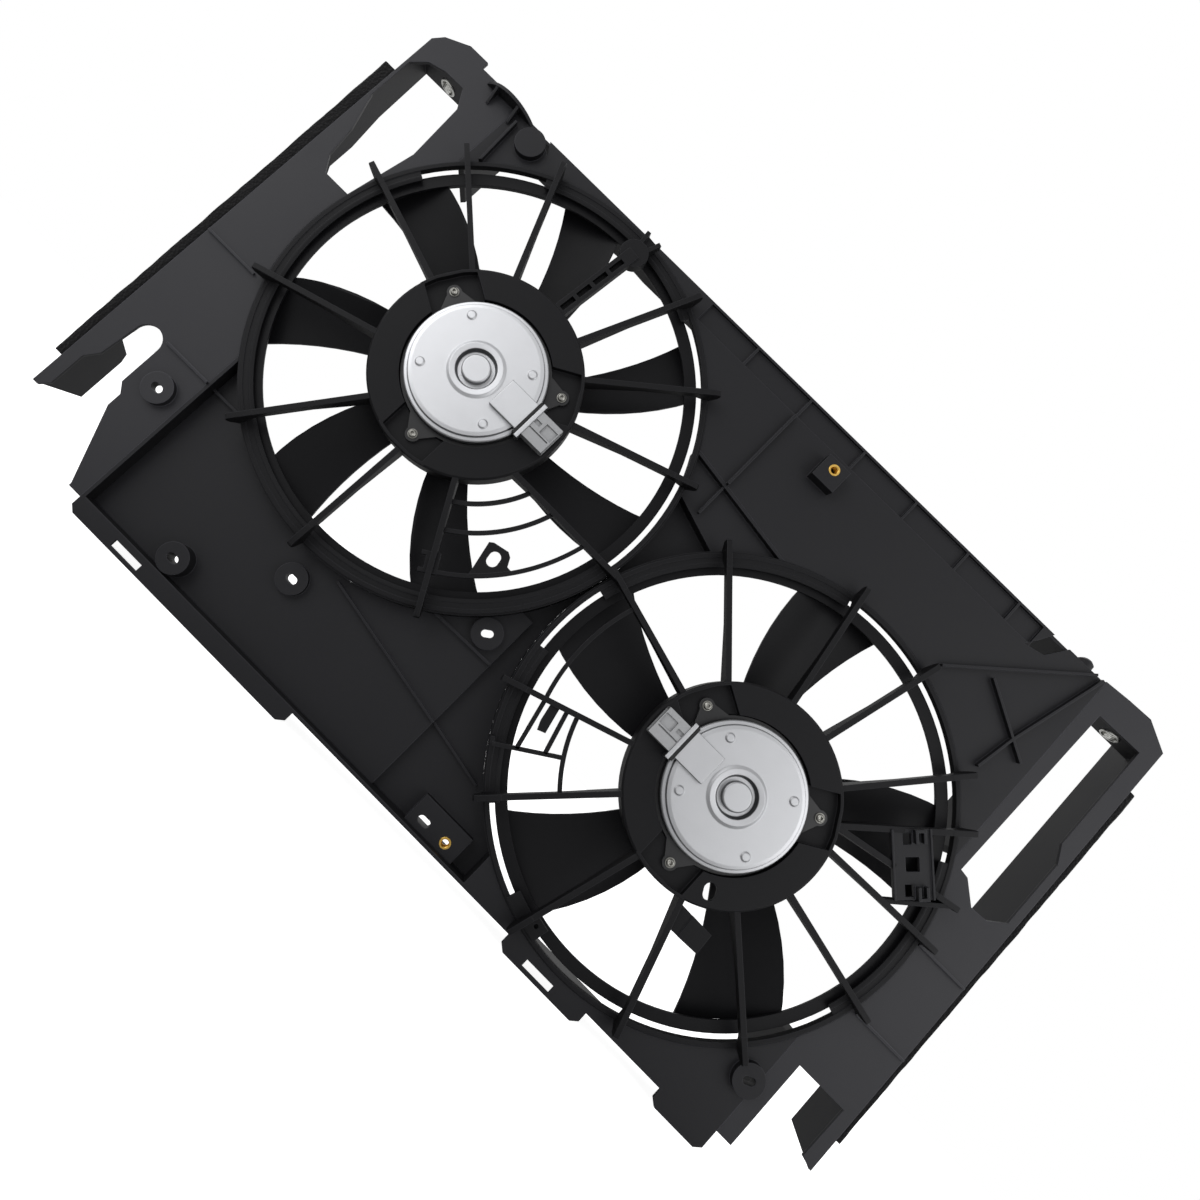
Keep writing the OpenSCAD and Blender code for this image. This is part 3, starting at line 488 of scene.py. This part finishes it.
def grey_polyester(colour, dark_band, middle):
    """PBT connector shell, moulded: light grey with a fine satin skin, and near black at its root as
    painted shade in the groove.
    """
    material, tree = new_material("PBT, moulded, on a rubber gasket")
    place = object_place(tree)
    along = add_node(tree, "ShaderNodeSeparateXYZ", {"Vector": place}).outputs["X"]
    reach = calculated(tree, "ABSOLUTE", calculated(tree, "SUBTRACT", along, middle))
    # Near black within this reach, as painted shade in the groove by the cover's end
    groove_shaded = calculated(tree, "LESS_THAN", reach, GROOVE_SHADE_END * MM)
    skin = speckle(tree, place, 1.5, Detail=3.0)
    rounded, mask = rounded_edges(tree, 0.7 * MM)
    # Painted shade darkens the shell's walls that run along the depth, and its edges
    shell = painted_edge_light(tree, painted_wall_shade(tree, tone(tree, colour, skin, 0.93, 1.07), 0.3), mask, 0.6)
    return finish_material(
        material,
        {
            "Base Color": mixed(tree, groove_shaded, shell, dark_band),
            "Roughness": ranged(tree, groove_shaded, 0.42, 0.8),
            "IOR": 1.55,
            "Normal": bump(tree, 0.08, 0.2 * MM, skin, Normal=rounded),
        },
    )


def bare_metal(name, colour, rough, grain):
    """A bare metal or wound wire inside the motor, with a grain of the given size."""
    material, tree = new_material(name)
    grains = speckle(tree, object_place(tree), grain, Detail=3.0)
    return finish_material(
        material,
        {
            "Base Color": tone(tree, colour, grains, 0.85, 1.15),
            "Metallic": 1.0,
            "Roughness": ranged(tree, grains, rough - 0.06, rough + 0.06),
            "Normal": bump(tree, 0.2, 0.3 * MM, grains),
        },
    )


def dull_solid(name, colour, grain):
    """A pressed or sintered solid inside the motor that has no shine."""
    material, tree = new_material(name)
    grains = speckle(tree, object_place(tree), grain, Detail=3.0)
    return finish_material(
        material,
        {
            "Base Color": tone(tree, colour, grains, 0.8, 1.2),
            "Roughness": ranged(tree, grains, 0.6, 0.75),
        },
    )


def dress(names, material):
    """Gives CAD nodes a finish."""
    for name in names:
        node = nodes[name]
        node.data.materials.clear()
        node.data.materials.append(material)


# Settings


class ShroudSettings(PropertyGroup):
    """Finish of the moulded shroud."""

    colour: FloatVectorProperty(
        name="Nylon colour",
        description="Colour of the moulded shroud",
        subtype="COLOR",
        default=linear("#1b1b1e"),
        min=0,
        max=1,
    )
    spokes: FloatVectorProperty(
        name="Spoke colour",
        description="Colour of the ports, the carriers with their spokes and the guards",
        subtype="COLOR",
        default=linear("#151517"),
        min=0,
        max=1,
    )
    # The wings are painted lighter than the rest of the shroud, as painted light
    wings: FloatVectorProperty(
        name="Wing colour",
        description="Colour of the two side wings, which catch more light",
        subtype="COLOR",
        default=linear("#242428"),
        min=0,
        max=1,
    )
    grain: FloatProperty(
        name="Grain",
        description="Size of the mould's grain in millimetres, drawn coarse enough to show",
        default=1.6,
        min=0.5,
        max=5,
    )
    edge: FloatProperty(
        name="Edge radius",
        description="Rounding of the moulded edges",
        subtype="DISTANCE",
        default=0.9 * MM,
        min=0,
        max=3 * MM,
    )


class WheelSettings(PropertyGroup):
    """Finish of the two fan wheels."""

    colour: FloatVectorProperty(
        name="Blade colour",
        description="Colour of the fan wheels",
        subtype="COLOR",
        default=linear("#131315"),
        min=0,
        max=1,
    )
    edge: FloatProperty(
        name="Edge radius",
        description="Rounding of the blade edges",
        subtype="DISTANCE",
        default=0.6 * MM,
        min=0,
        max=2 * MM,
    )


class MotorSettings(PropertyGroup):
    """Finish of the motors and their connectors."""

    cap: FloatVectorProperty(
        name="Cap colour",
        description="Colour of the pressed motor caps",
        subtype="COLOR",
        default=linear("#c6c7ca"),
        min=0,
        max=1,
    )
    connector: FloatVectorProperty(
        name="Connector colour",
        description="Colour of the connector shells",
        subtype="COLOR",
        default=linear("#a2a3a5"),
        min=0,
        max=1,
    )
    coat: FloatVectorProperty(
        name="Coat colour",
        description="Colour of the coated yokes and flanges",
        subtype="COLOR",
        default=linear("#1b1b1d"),
        min=0,
        max=1,
    )


class SealSettings(PropertyGroup):
    """Finish of the foam seals."""

    colour: FloatVectorProperty(
        name="Foam colour",
        description="Colour of the side seals",
        subtype="COLOR",
        default=linear("#161617"),
        min=0,
        max=1,
    )


class StageSettings(PropertyGroup):
    """Camera, lamps and floor."""

    lens: FloatProperty(
        name="Lens",
        description="Focal length of the camera",
        subtype="DISTANCE_CAMERA",
        default=23.4,
        min=10,
        max=200,
    )
    left_power: FloatProperty(
        name="Left softbox", description="Power of the left softbox", subtype="POWER", default=8, min=0
    )
    right_power: FloatProperty(
        name="Right softbox", description="Power of the right softbox", subtype="POWER", default=7.5, min=0
    )
    back_power: FloatProperty(
        name="Back lamp", description="Power of the lamp behind the part", subtype="POWER", default=5, min=0
    )


# Operators


class COOLINGFAN_OT_shroud(Operator):
    """Give the shroud its moulded finish, and make its guards, clip plate, spoke ends and small details"""

    bl_idname = "coolingfan.shroud"
    bl_label = "Shroud"

    def execute(self, context):
        shroud = context.scene.fan_shroud
        shell, wings, spokes = (
            glass_filled_nylon(colour, shroud.grain, shroud.edge, gloss)
            for colour, gloss in ((shroud.colour, 0.22), (shroud.wings, 0.3), (shroud.spokes, 0.14))
        )
        dress(["shroud_panel", "recessed_panel", "lower_flange"], shell)
        # The wings take the lighter colour, as painted light
        dress([f"{side}_wing" for side in SIDES], wings)
        dress([f"{side}_{part}" for side in SIDES for part in ("fan_port", "motor_carrier")], spokes)
        self.guards(spokes)
        self.bracket(shell)
        self.carrier_details(spokes)
        for side, angles in (("left", LEFT_SPOKES), ("right", RIGHT_SPOKES)):
            self.spoke_ends(side, angles, spokes)
        self.peg_ledge(shell)
        return {"FINISHED"}

    def piece(self, name, work, material, *replaced):
        """One moulded piece of the shroud."""
        new_piece(name, work, material, "shroud_moulding", "shroud", *replaced)

    def guards(self, nylon):
        """Bent and straight bars between the spokes, with a pierced plate left and a solid one right."""
        bent = {
            "left": ((90.5, 303.8, 340.5), (110.7, 303.2, 344.1), (140.2, 302.6, 347.6)),
            "right": ((140, 162, 197.8), (115.5, 198.2, 224.7)),
        }
        straight_bars = ((-138, -89, -97.6, -62.7), (-133.2, -43, -124, -80), (-117.5, -37, -108.1, -69))
        pierced = [
            (89.3, -76), (92, -73.9), (103.5, -71.4), (107, -73.4), (110.3, -79.4), (115.3, -79.6),
            (104.2, -93.8), (95.5, -102.6),
        ]
        solid = [(-128.6, -41.8), (-122.3, -39.8), (-117.4, -59.4), (-122.9, -61.6), (-125.6, -55.5)]
        front, back = GUARD_Y, GUARD_Y + GUARD_T
        for side in SIDES:
            work, place = bmesh.new(), at_wheel(side)
            for radius, start, stop in bent[side]:
                add_plate(work, [arc(radius, start, stop)], front, back, place)
            if side == "left":
                hole = oval(99.8, -82.1, 11.5, 8.5, 100)
                add_plate(work, [pierced, hole], front + 2 * HAIR, back - 2 * HAIR, place)
            else:
                for ends in straight_bars:
                    add_plate(work, [straight(*ends)], front + 2 * HAIR, back - 2 * HAIR, place)
                foot = straight(-138, -89, -141, -85)
                add_plate(work, [foot], front + HAIR, LIP_Y, place)
                add_plate(work, [solid], front + 3 * HAIR, back - 4 * HAIR, place)
            self.piece(f"{side}_guard_bars", work, nylon, f"{side}_finger_guard")

    def bracket(self, nylon):
        """The clip plate for a control unit: a square hole, two slots, raised long edges and two loops."""
        half_w, half_l, thick = 14, 23, 2.5
        window, lip_w, bar_w, loop_l = 4.8, 1.4, 2, 9
        proud = 2 * HAIR
        middle = Vector((119, SPOKE_Y - 1.4, 52.7)) * MM
        place = at_wheel("right") @ Matrix.Translation(middle) @ about_y(45)
        holes = [block(-window, window, -window, window), block(-6, 0, -21, -13), block(-6, 0, 13, 21)]
        work = bmesh.new()
        add_plate(work, [block(-half_w, half_w, -half_l, half_l)] + holes, 0, thick, place)
        for x in (-half_w - proud, half_w - lip_w + proud):
            lip = block(x, x + lip_w, -half_l - proud, half_l + proud)
            add_plate(work, [lip], -1.2, 0.8, place)
        for z in (-half_l - 2 * proud, half_l - loop_l):
            for x in (1.2, 6.8):
                add_plate(work, [block(x, x + bar_w, z, z + loop_l)], -4, 0.5, place)
        for z in (-half_l - 3 * proud, half_l - bar_w + proud):
            add_plate(work, [block(1.1, 8.9, z, z + bar_w)], -4.1, 0.6, place)
        self.piece("clip_plate", work, nylon, "module_bracket")

    def carrier_details(self, nylon):
        """A slotted clip and the floor of the wide spoke's slots, and a stepped flap, a strut and a tab."""
        work = bmesh.new()
        clip = [(127, -6.5), (130, -6.5), (130, -3), (139, -3)]
        clip += [(139, -6.5), (142, -6.5), (142, 6.5), (127, 6.5)]
        add_plate(work, [clip], SPOKE_Y + 1.5, SPOKE_Y + 5.5, at_wheel("left") @ about_y(301.7))
        floor = block(74, 136, -4, 4)
        add_plate(work, [floor], SPOKE_Y + 1, SPOKE_Y + 2.8, at_wheel("left") @ about_y(WIDE_SPOKE))
        self.piece("left_carrier_details", work, nylon)
        work, place = bmesh.new(), at_wheel("right")
        inner_flap = [(22, -74.5), (36, -75), (37, -91.2), (29.6, -91.4)]
        outer_flap = [(35.5, -74.8), (52.4, -75.2), (53.4, -90.6), (36.5, -91.3)]
        strut = straight(121, 21.1, 157.5, 51.3)
        add_plate(work, [inner_flap], SPOKE_Y + 0.8, SPOKE_Y + 2.9, place)
        add_plate(work, [outer_flap], SPOKE_Y, SPOKE_Y + 2.5, place)
        add_plate(work, [strut], SPOKE_Y + 0.2, SPOKE_Y + 7, place)
        tab = [block(151, 163, -7, 7), oval(156, 0, 3.3, 3.2, 0)]
        add_plate(work, tab, LIP_Y - 2, LIP_Y - 2 * HAIR, place @ about_y(258))
        self.piece("right_carrier_details", work, nylon)

    def spoke_ends(self, side, angles, nylon):
        """The rounded noses with which the spokes end beyond the port's lip."""
        work = bmesh.new()
        # Along the spoke from its tip, and in depth
        nose = [(-12, SPOKE_Y - 0.3), (4, SPOKE_Y), (6.2, SPOKE_Y + 0.8), (7, SPOKE_Y + 3)]
        nose += [(6, SPOKE_Y + 7), (0, DECK_Y), (-1, DECK_Y), (-1, LIP_Y), (-4, LIP_Y), (-12, SPOKE_Y + 6)]
        half = SPOKE_T / 2 - HAIR
        for start, stop in angles:
            root = Vector(turned(SPOKE_ROOT_R, 0, start))
            tip = Vector(turned(SPOKE_TIP_R, 0, stop))
            heading = math.degrees(math.atan2(tip.y - root.y, tip.x - root.x))
            at_tip = at_wheel(side) @ Matrix.Translation((tip.x * MM, 0, tip.y * MM))
            add_plate(work, [nose], -half, half, at_tip @ about_y(heading) @ about_x(-90))
        self.piece(f"{side}_spoke_ends", work, nylon)

    def peg_ledge(self, nylon):
        """A rounded ledge in front of the left locating peg, with two gussets below it."""
        work = bmesh.new()
        root = Matrix.Translation(Vector((-PEG_X, DECK_Y, 0)) * MM)
        half = LEDGE_W / 2
        bend = (half**2 + LEDGE_D**2) / (2 * LEDGE_D)
        # The round edge runs from right to left, and the ledge's root lies behind it
        edge = []
        for i in range(1, 24):
            x = LEDGE_W * (0.5 - i / 24)
            edge.append((x, math.sqrt(bend**2 - x**2) + LEDGE_D - bend))
        outline = [(-half, -2), (half, -2), (half, 0)] + edge + [(-half, 0)]
        add_plate(work, [outline], TOP_Z - LEDGE_T, TOP_Z, root @ about_x(90))
        gusset = [(-1, TOP_Z - 2), (-8, TOP_Z - 2), (-1, TOP_Z - 14)]
        for x in (-12, 9):
            beside = Matrix.Translation((x * MM, 0, 0)) @ Matrix.Rotation(math.radians(90), 4, "Z")
            add_plate(work, [gusset], -1, 1, root @ beside)
        self.piece("left_peg_ledge", work, nylon)


class COOLINGFAN_OT_wheels(Operator):
    """Give the fan wheels their satin blade skin"""

    bl_idname = "coolingfan.wheels"
    bl_label = "Fan wheels"

    def execute(self, context):
        wheel = context.scene.fan_wheels
        dress([f"{side}_fan_wheel" for side in SIDES], satin_nylon(wheel.colour, wheel.edge))
        return {"FINISHED"}


class COOLINGFAN_OT_motors(Operator):
    """Give the motors, their connectors and what is inside them their finishes"""

    bl_idname = "coolingfan.motors"
    bl_label = "Motors"

    def execute(self, context):
        motor = context.scene.fan_motors
        finishes = {
            ("yoke", "mounting_flange"): black_coated_steel(motor.coat),
            ("shaft", "fan_nut"): plated_steel(linear("#c9c8c2")),
            # The screws' steel is darker than the shaft's, as painted shade
            ("motor_screws",): plated_steel(linear("#8f8e89")),
            ("terminals",): bare_metal("Brass strip, stamped", linear("#c9a456"), 0.3, 2),
            ("magnets",): dull_solid("Ferrite, sintered", linear("#2c2c2e"), 1.5),
            ("brush_holder",): dull_solid("Phenolic resin, moulded", linear("#5a3b22"), 3),
            ("brushes",): dull_solid("Carbon, pressed", linear("#232323"), 1),
            ("cap_bearing", "yoke_bearing"): bare_metal("Bronze, sintered", linear("#9b7440"), 0.5, 1),
            ("armature_core",): bare_metal("Core plates, stacked", linear("#6f6f73"), 0.45, 1),
            ("windings", "commutator"): bare_metal("Copper wire, enamelled", linear("#a85a2c"), 0.35, 1.5),
        }
        for parts, material in finishes.items():
            dress([f"{side}_{part}" for side in SIDES for part in parts], material)
        for side, shade in (("left", 1.0), ("right", 0.8)):
            # The right cap is painted darker, as painted shade
            zinc = pressed_zinc_sheet([c * shade for c in motor.cap])
            dress([f"{side}_motor_cap", f"{side}_terminal_cover"], zinc)
            # Near black for the painted shade in the groove between the cover and the connector
            dark_band = (*linear("#131314"), 1)
            self.connector(side, grey_polyester(motor.connector, dark_band, wheel_axis(side).x))
            self.screws(side, finishes[("motor_screws",)])
            self.nut(side, finishes[("shaft", "fan_nut")])
        return {"FINISHED"}

    def connector(self, side, shell):
        """A near-black band round the cover's end as painted shade in the groove, and a connector shell
        with a recessed front and an open mouth.
        """
        place = at_wheel(side) @ Matrix.Scale(-1 if side == "right" else 1, 4, (1, 0, 0))
        work = bmesh.new()
        # This band is painted near black, as painted shade in the groove
        add_plate(work, [block(48, 50.4, -14, 14)], CAP_Y - 2.3, CAP_Y + 3.6, place)
        root, end, half, wall, mouth_root = 53.4, 72.4, 10.8, 1.3, 57
        recesses = [block(61.5, 71.5, -1.2, 6.6), block(54, 58.9, 1.4, 4.2), block(54, 70.5, -3.4, -2.6)]
        outline = block(root, end, -half, half)
        floor = block(root + HAIR, end - 2 * HAIR, -half + 2 * HAIR, half - 2 * HAIR)
        mouth = [(root - 2 * HAIR, -half + HAIR), (end - HAIR, -half + HAIR)]
        mouth += [(end - HAIR, -half + wall), (mouth_root, -half + wall)]
        mouth += [(x, -z) for x, z in reversed(mouth)]
        add_plate(work, [outline] + recesses, CAP_Y - 2, CAP_Y - 0.6, place)
        add_plate(work, [floor], CAP_Y - 0.6 - HAIR, CAP_Y + 0.4, place)
        add_plate(work, [mouth], CAP_Y - 0.5, CAP_Y + 5.3, place)
        add_plate(work, [outline], CAP_Y + 5.2, CAP_Y + 6.6, place)
        new_piece(
            f"{side}_connector_shell", work, shell, "connector_grey", "shroud", f"{side}_connector"
        )

    def screws(self, side, steel):
        """Three flange screws with a washer, a domed head, a six-lobed socket and a threaded shank."""
        axis = wheel_axis(side)
        low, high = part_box(f"{side}_motor_screws")
        work = bmesh.new()
        for turn in (30, 150, 270):
            place = (
                axis.x + SCREW_CIRCLE_R * MM * math.cos(math.radians(turn)),
                low[1],
                axis.z + SCREW_CIRCLE_R * MM * math.sin(math.radians(turn)),
            )
            under = 2.6 * MM
            length = high[1] - low[1]
            thread = []
            for i in range(int((length - under - 1 * MM) / (0.5 * MM))):
                thread.append((plain((2.0 if i % 2 else 1.75) * MM), under + i * 0.5 * MM))
            add_rings(
                work,
                [
                    (lobed(0.9 * MM, 0.15 * MM, 6), 1.6 * MM),
                    (lobed(1.15 * MM, 0.25 * MM, 6), 0.25 * MM),
                    (plain(1.75 * MM), 0.05 * MM),
                    (plain(2.3 * MM), 0.25 * MM),
                    (plain(2.75 * MM), 0.8 * MM),
                    (plain(2.85 * MM), 1.9 * MM),
                    (plain(3.35 * MM), 1.95 * MM),
                    (plain(3.45 * MM), 2.1 * MM),
                    (plain(3.45 * MM), 2.55 * MM),
                    (plain(2.0 * MM), under),
                ]
                + thread
                + [(plain(1.2 * MM), length)],
                place,
            )
        new_piece(f"{side}_flange_screws", work, steel, "plated_steel", "shroud", f"{side}_motor_screws")

    def nut(self, side, steel):
        """The hexagon nut at the radiator end of the shaft, with chamfered corners and a washer face."""
        low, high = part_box(f"{side}_fan_nut")
        axis = wheel_axis(side)
        thick = high[1] - low[1]
        flats = high[2] - low[2]
        work = bmesh.new()
        add_rings(
            work,
            [
                (plain(4 * MM), 0),
                (plain(flats / 2), 0),
                (plain(flats / 2), 0.4 * MM),
                (hexagon(flats), 1.0 * MM),
                (hexagon(flats), thick - 0.9 * MM),
                (plain(flats / 2 * 0.97), thick - 0.1 * MM),
                (plain(4.4 * MM), thick),
                (plain(4 * MM), thick - 0.4 * MM),
            ],
            (axis.x, low[1], axis.z),
            closed=True,
        )
        new_piece(f"{side}_hexagon_nut", work, steel, "plated_steel", f"{side}_rotor", f"{side}_fan_nut")


class COOLINGFAN_OT_fixings(Operator):
    """Give the bolt sleeves and the threaded inserts their finishes"""

    bl_idname = "coolingfan.fixings"
    bl_label = "Sleeves and inserts"

    def execute(self, context):
        steel = plated_steel(linear("#d0d0cc"))
        brass = bare_metal("Brass, turned", linear("#d9b25c"), 0.28, 2)
        for side in SIDES:
            self.sleeve(side, steel)
        for level in ("upper", "lower"):
            self.insert(level, brass)
        return {"FINISHED"}

    def sleeve(self, side, steel):
        """A rolled steel sleeve, chamfered at both ends, with fine grip rings in its bore."""
        low, high = (Vector(c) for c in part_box(f"{side}_bolt_sleeve"))
        middle = (low + high) / 2
        outer = (high.x - low.x) / 2
        length = high.z - low.z
        bore = outer - 2 * MM
        inside = [(plain(bore + (0.25 * MM if i % 2 else 0)), 0.8 * MM + i * 0.65 * MM) for i in range(17)]
        work = bmesh.new()
        add_rings(
            work,
            [
                (plain(bore + 0.5 * MM), 0),
                (plain(outer - 0.5 * MM), 0),
                (plain(outer), 0.5 * MM),
                (plain(outer), length - 0.5 * MM),
                (plain(outer - 0.5 * MM), length),
                (plain(bore + 0.5 * MM), length),
            ]
            + inside[::-1],
            (0, 0, 0),
            closed=True,
        )
        upright = Matrix.Translation((middle.x, middle.y, low.z)) @ about_x(90)
        bmesh.ops.transform(work, matrix=upright, verts=work.verts)
        new_piece(f"{side}_rolled_sleeve", work, steel, "plated_steel", "shroud", f"{side}_bolt_sleeve")

    def insert(self, level, brass):
        """A turned brass insert with a flanged mouth, a threaded bore and two knurled bands."""
        low, high = (Vector(c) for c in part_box(f"{level}_threaded_insert"))
        outer = (high.x - low.x) / 2
        length = high.y - low.y
        bore = 2.5 * MM
        pitch = 0.5 * MM
        turns = int((length - 1 * MM) / pitch)
        thread = [(plain(bore + (0.35 * MM if i % 2 else 0)), 0.5 * MM + i * pitch) for i in range(turns)]
        work = bmesh.new()
        add_rings(
            work,
            [
                (plain(bore + 0.5 * MM), 0),
                (plain(outer - 0.2 * MM), 0),
                (plain(outer), 0.2 * MM),
                (plain(outer), 1.2 * MM),
                (plain(outer - 0.5 * MM), 1.4 * MM),
                (lobed(outer - 0.3 * MM, 0.2 * MM, 24), 1.8 * MM),
                (lobed(outer - 0.3 * MM, 0.2 * MM, 24), length * 0.5),
                (plain(outer - 0.7 * MM), length * 0.55),
                (plain(outer - 0.7 * MM), length * 0.62),
                (lobed(outer - 0.3 * MM, 0.2 * MM, 24), length * 0.67),
                (lobed(outer - 0.3 * MM, 0.2 * MM, 24), length - 0.4 * MM),
                (plain(outer - 0.8 * MM), length),
                (plain(bore + 0.2 * MM), length),
            ]
            + thread[::-1],
            ((low.x + high.x) / 2, low.y, (low.z + high.z) / 2),
            steps=96,
            closed=True,
        )
        new_piece(f"{level}_brass_insert", work, brass, "brass", "shroud", f"{level}_threaded_insert")


class COOLINGFAN_OT_seals(Operator):
    """Make the foam side seals"""

    bl_idname = "coolingfan.seals"
    bl_label = "Side seals"

    def execute(self, context):
        foam = open_cell_foam(context.scene.fan_seals.colour)
        for side in SIDES:
            self.strip(side, foam)
        return {"FINISHED"}

    def strip(self, side, foam):
        """A long strip cut from foam: tapered, round cornered, a little uneven where the blade wandered."""
        low, high = (Vector(c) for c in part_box(f"{side}_side_seal"))
        node = nodes[f"{side}_side_seal"]
        top = [v.co.x for v in node.data.vertices if v.co.z > high.z - 1 * MM]
        foot = [v.co.x for v in node.data.vertices if v.co.z < low.z + 1 * MM]
        corner = 2.2 * MM
        rings = 90
        work = bmesh.new()
        made = []
        for k in range(rings + 1):
            share = k / rings
            x0 = min(foot) + (min(top) - min(foot)) * share
            x1 = max(foot) + (max(top) - max(foot)) * share
            z = low.z + (high.z - low.z) * share
            ring = []
            for i in range(32):
                turn = 2 * math.pi * i / 32
                u, v = superellipse(turn, (x1 - x0) / 2, (high.y - low.y) / 2, corner)
                point = Vector(((x0 + x1) / 2 + u, (low.y + high.y) / 2 + v, z))
                wander = noise.noise(point * per_mm(14)) * 0.45 * MM
                wander += noise.noise(point * per_mm(4)) * 0.2 * MM
                ring.append(work.verts.new(point + Vector((u, v, 0)).normalized() * (wander - 0.4 * MM)))
            made.append(ring)
        for a, b in zip(made, made[1:]):
            for i in range(32):
                j = (i + 1) % 32
                work.faces.new((a[i], a[j], b[j], b[i]))
        work.faces.new(made[0])
        work.faces.new(made[-1])
        new_piece(f"{side}_foam_strip", work, foam, "foam", "shroud", f"{side}_side_seal")


class COOLINGFAN_OT_stage(Operator):
    """Set up the floor, the lamps, the world and the camera"""

    bl_idname = "coolingfan.stage"
    bl_label = "Stage"

    def execute(self, context):
        stage = context.scene.fan_stage
        context.scene.view_settings.view_transform = "Standard"
        self.floor()
        self.world(context.scene)
        self.lamp("Left softbox", stage.left_power, 1.2, (-1.1, -0.85, 0.1))
        self.lamp("Right softbox", stage.right_power, 1.2, (1.1, -0.85, 0.0))
        self.lamp("Back lamp", stage.back_power, 1.0, (0.2, 0.9, 1.1))
        self.camera(context.scene, stage)
        return {"FINISHED"}

    def floor(self):
        """A white floor that keeps the soft shadow and meets the white world without a line."""
        mesh = bpy.data.meshes.new("Studio floor")
        half = 6
        low = cad_box[0][2]
        corners = [(x, y, low) for x, y in ((-half, -half), (half, -half), (half, half), (-half, half))]
        mesh.from_pydata(corners, [], [(0, 1, 2, 3)])
        floor = bpy.data.objects.new("Studio floor", mesh)
        bpy.context.collection.objects.link(floor)
        material, tree = new_material("Studio floor, white")
        seen = add_node(tree, "ShaderNodeLightPath").outputs["Is Camera Ray"]
        matt = add_node(tree, "ShaderNodeBsdfDiffuse", {"Color": (0.9, 0.9, 0.9, 1)})
        glow = add_node(tree, "ShaderNodeEmission", {"Strength": ranged(tree, seen, 0, 0.92)})
        both = add_node(tree, "ShaderNodeAddShader")
        tree.links.new(matt.outputs[0], both.inputs[0])
        tree.links.new(glow.outputs[0], both.inputs[1])
        finish_material(material, both)
        mesh.materials.append(material)

    def world(self, scene):
        """White to the camera, to mirrors and through glass, and a dim even light for the rest."""
        world = bpy.data.worlds.new("Studio white")
        world.use_nodes = True
        tree = world.node_tree
        tree.nodes.clear()
        path = add_node(tree, "ShaderNodeLightPath")
        through = path.outputs["Is Transmission Ray"]
        seen = calculated(tree, "MAXIMUM", path.outputs["Is Camera Ray"], through)
        mirrored = calculated(tree, "MULTIPLY", path.outputs["Is Glossy Ray"], 0.74)
        white = calculated(tree, "MAXIMUM", seen, mirrored)
        light = add_node(
            tree, "ShaderNodeBackground", {"Color": (1, 1, 1, 1), "Strength": ranged(tree, white, 0.4, 1.0)}
        )
        add_node(tree, "ShaderNodeOutputWorld", {"Surface": light.outputs[0]})
        scene.world = world

    def lamp(self, name, power, size, place):
        """A square soft lamp that faces the middle of the part."""
        data = bpy.data.lights.new(name, "AREA")
        data.energy = power
        data.size = size
        lamp = bpy.data.objects.new(name, data)
        bpy.context.collection.objects.link(lamp)
        middle = Vector((0, 0, -0.2))
        lamp.location = place
        lamp.rotation_euler = (middle - Vector(place)).to_track_quat("-Z", "Y").to_euler()

    def camera(self, scene, stage):
        """The photograph's camera, which looks at the motors and is rolled by about 45 degrees."""
        place = (-0.00874, -0.55165, -0.2918)
        yaw, pitch, roll = -1.683, 6.757, 45.249
        data = bpy.data.cameras.new("Camera")
        data.sensor_width = 36
        data.lens = stage.lens
        data.shift_x, data.shift_y = 0.05, -0.00833
        camera = bpy.data.objects.new("Camera", data)
        bpy.context.collection.objects.link(camera)
        aim = about_x(90) @ about_y(yaw) @ about_x(pitch)
        camera.matrix_world = Matrix.Translation(place) @ aim @ Matrix.Rotation(math.radians(roll), 4, "Z")
        scene.camera = camera


class COOLINGFAN_PT_panel(Panel):
    """Lists the pieces of the cooling fan and their settings"""

    bl_label = "Cooling Fan"
    bl_idname = "COOLINGFAN_PT_panel"
    bl_space_type = "VIEW_3D"
    bl_region_type = "UI"
    bl_category = "Cooling Fan"

    def draw(self, context):
        layout = self.layout
        scene = context.scene
        for operator, group in (
            (COOLINGFAN_OT_shroud, scene.fan_shroud),
            (COOLINGFAN_OT_wheels, scene.fan_wheels),
            (COOLINGFAN_OT_motors, scene.fan_motors),
            (COOLINGFAN_OT_fixings, None),
            (COOLINGFAN_OT_seals, scene.fan_seals),
            (COOLINGFAN_OT_stage, scene.fan_stage),
        ):
            box = layout.box()
            box.operator(operator.bl_idname)
            for name in group.__annotations__ if group else ():
                box.prop(group, name)


GROUPS = {
    "fan_shroud": ShroudSettings,
    "fan_wheels": WheelSettings,
    "fan_motors": MotorSettings,
    "fan_seals": SealSettings,
    "fan_stage": StageSettings,
}
CLASSES = (
    *GROUPS.values(),
    COOLINGFAN_OT_shroud,
    COOLINGFAN_OT_wheels,
    COOLINGFAN_OT_motors,
    COOLINGFAN_OT_fixings,
    COOLINGFAN_OT_seals,
    COOLINGFAN_OT_stage,
    COOLINGFAN_PT_panel,
)


def register():
    for cls in CLASSES:
        bpy.utils.register_class(cls)
    for name, group in GROUPS.items():
        setattr(bpy.types.Scene, name, PointerProperty(type=group))


def unregister():
    for name in GROUPS:
        delattr(bpy.types.Scene, name)
    for cls in reversed(CLASSES):
        bpy.utils.unregister_class(cls)


def main():
    """Builds every piece and the stage."""
    register()
    bpy.ops.coolingfan.shroud()
    bpy.ops.coolingfan.wheels()
    bpy.ops.coolingfan.motors()
    bpy.ops.coolingfan.fixings()
    bpy.ops.coolingfan.seals()
    bpy.ops.coolingfan.stage()


if __name__ == "__main__":
    main()
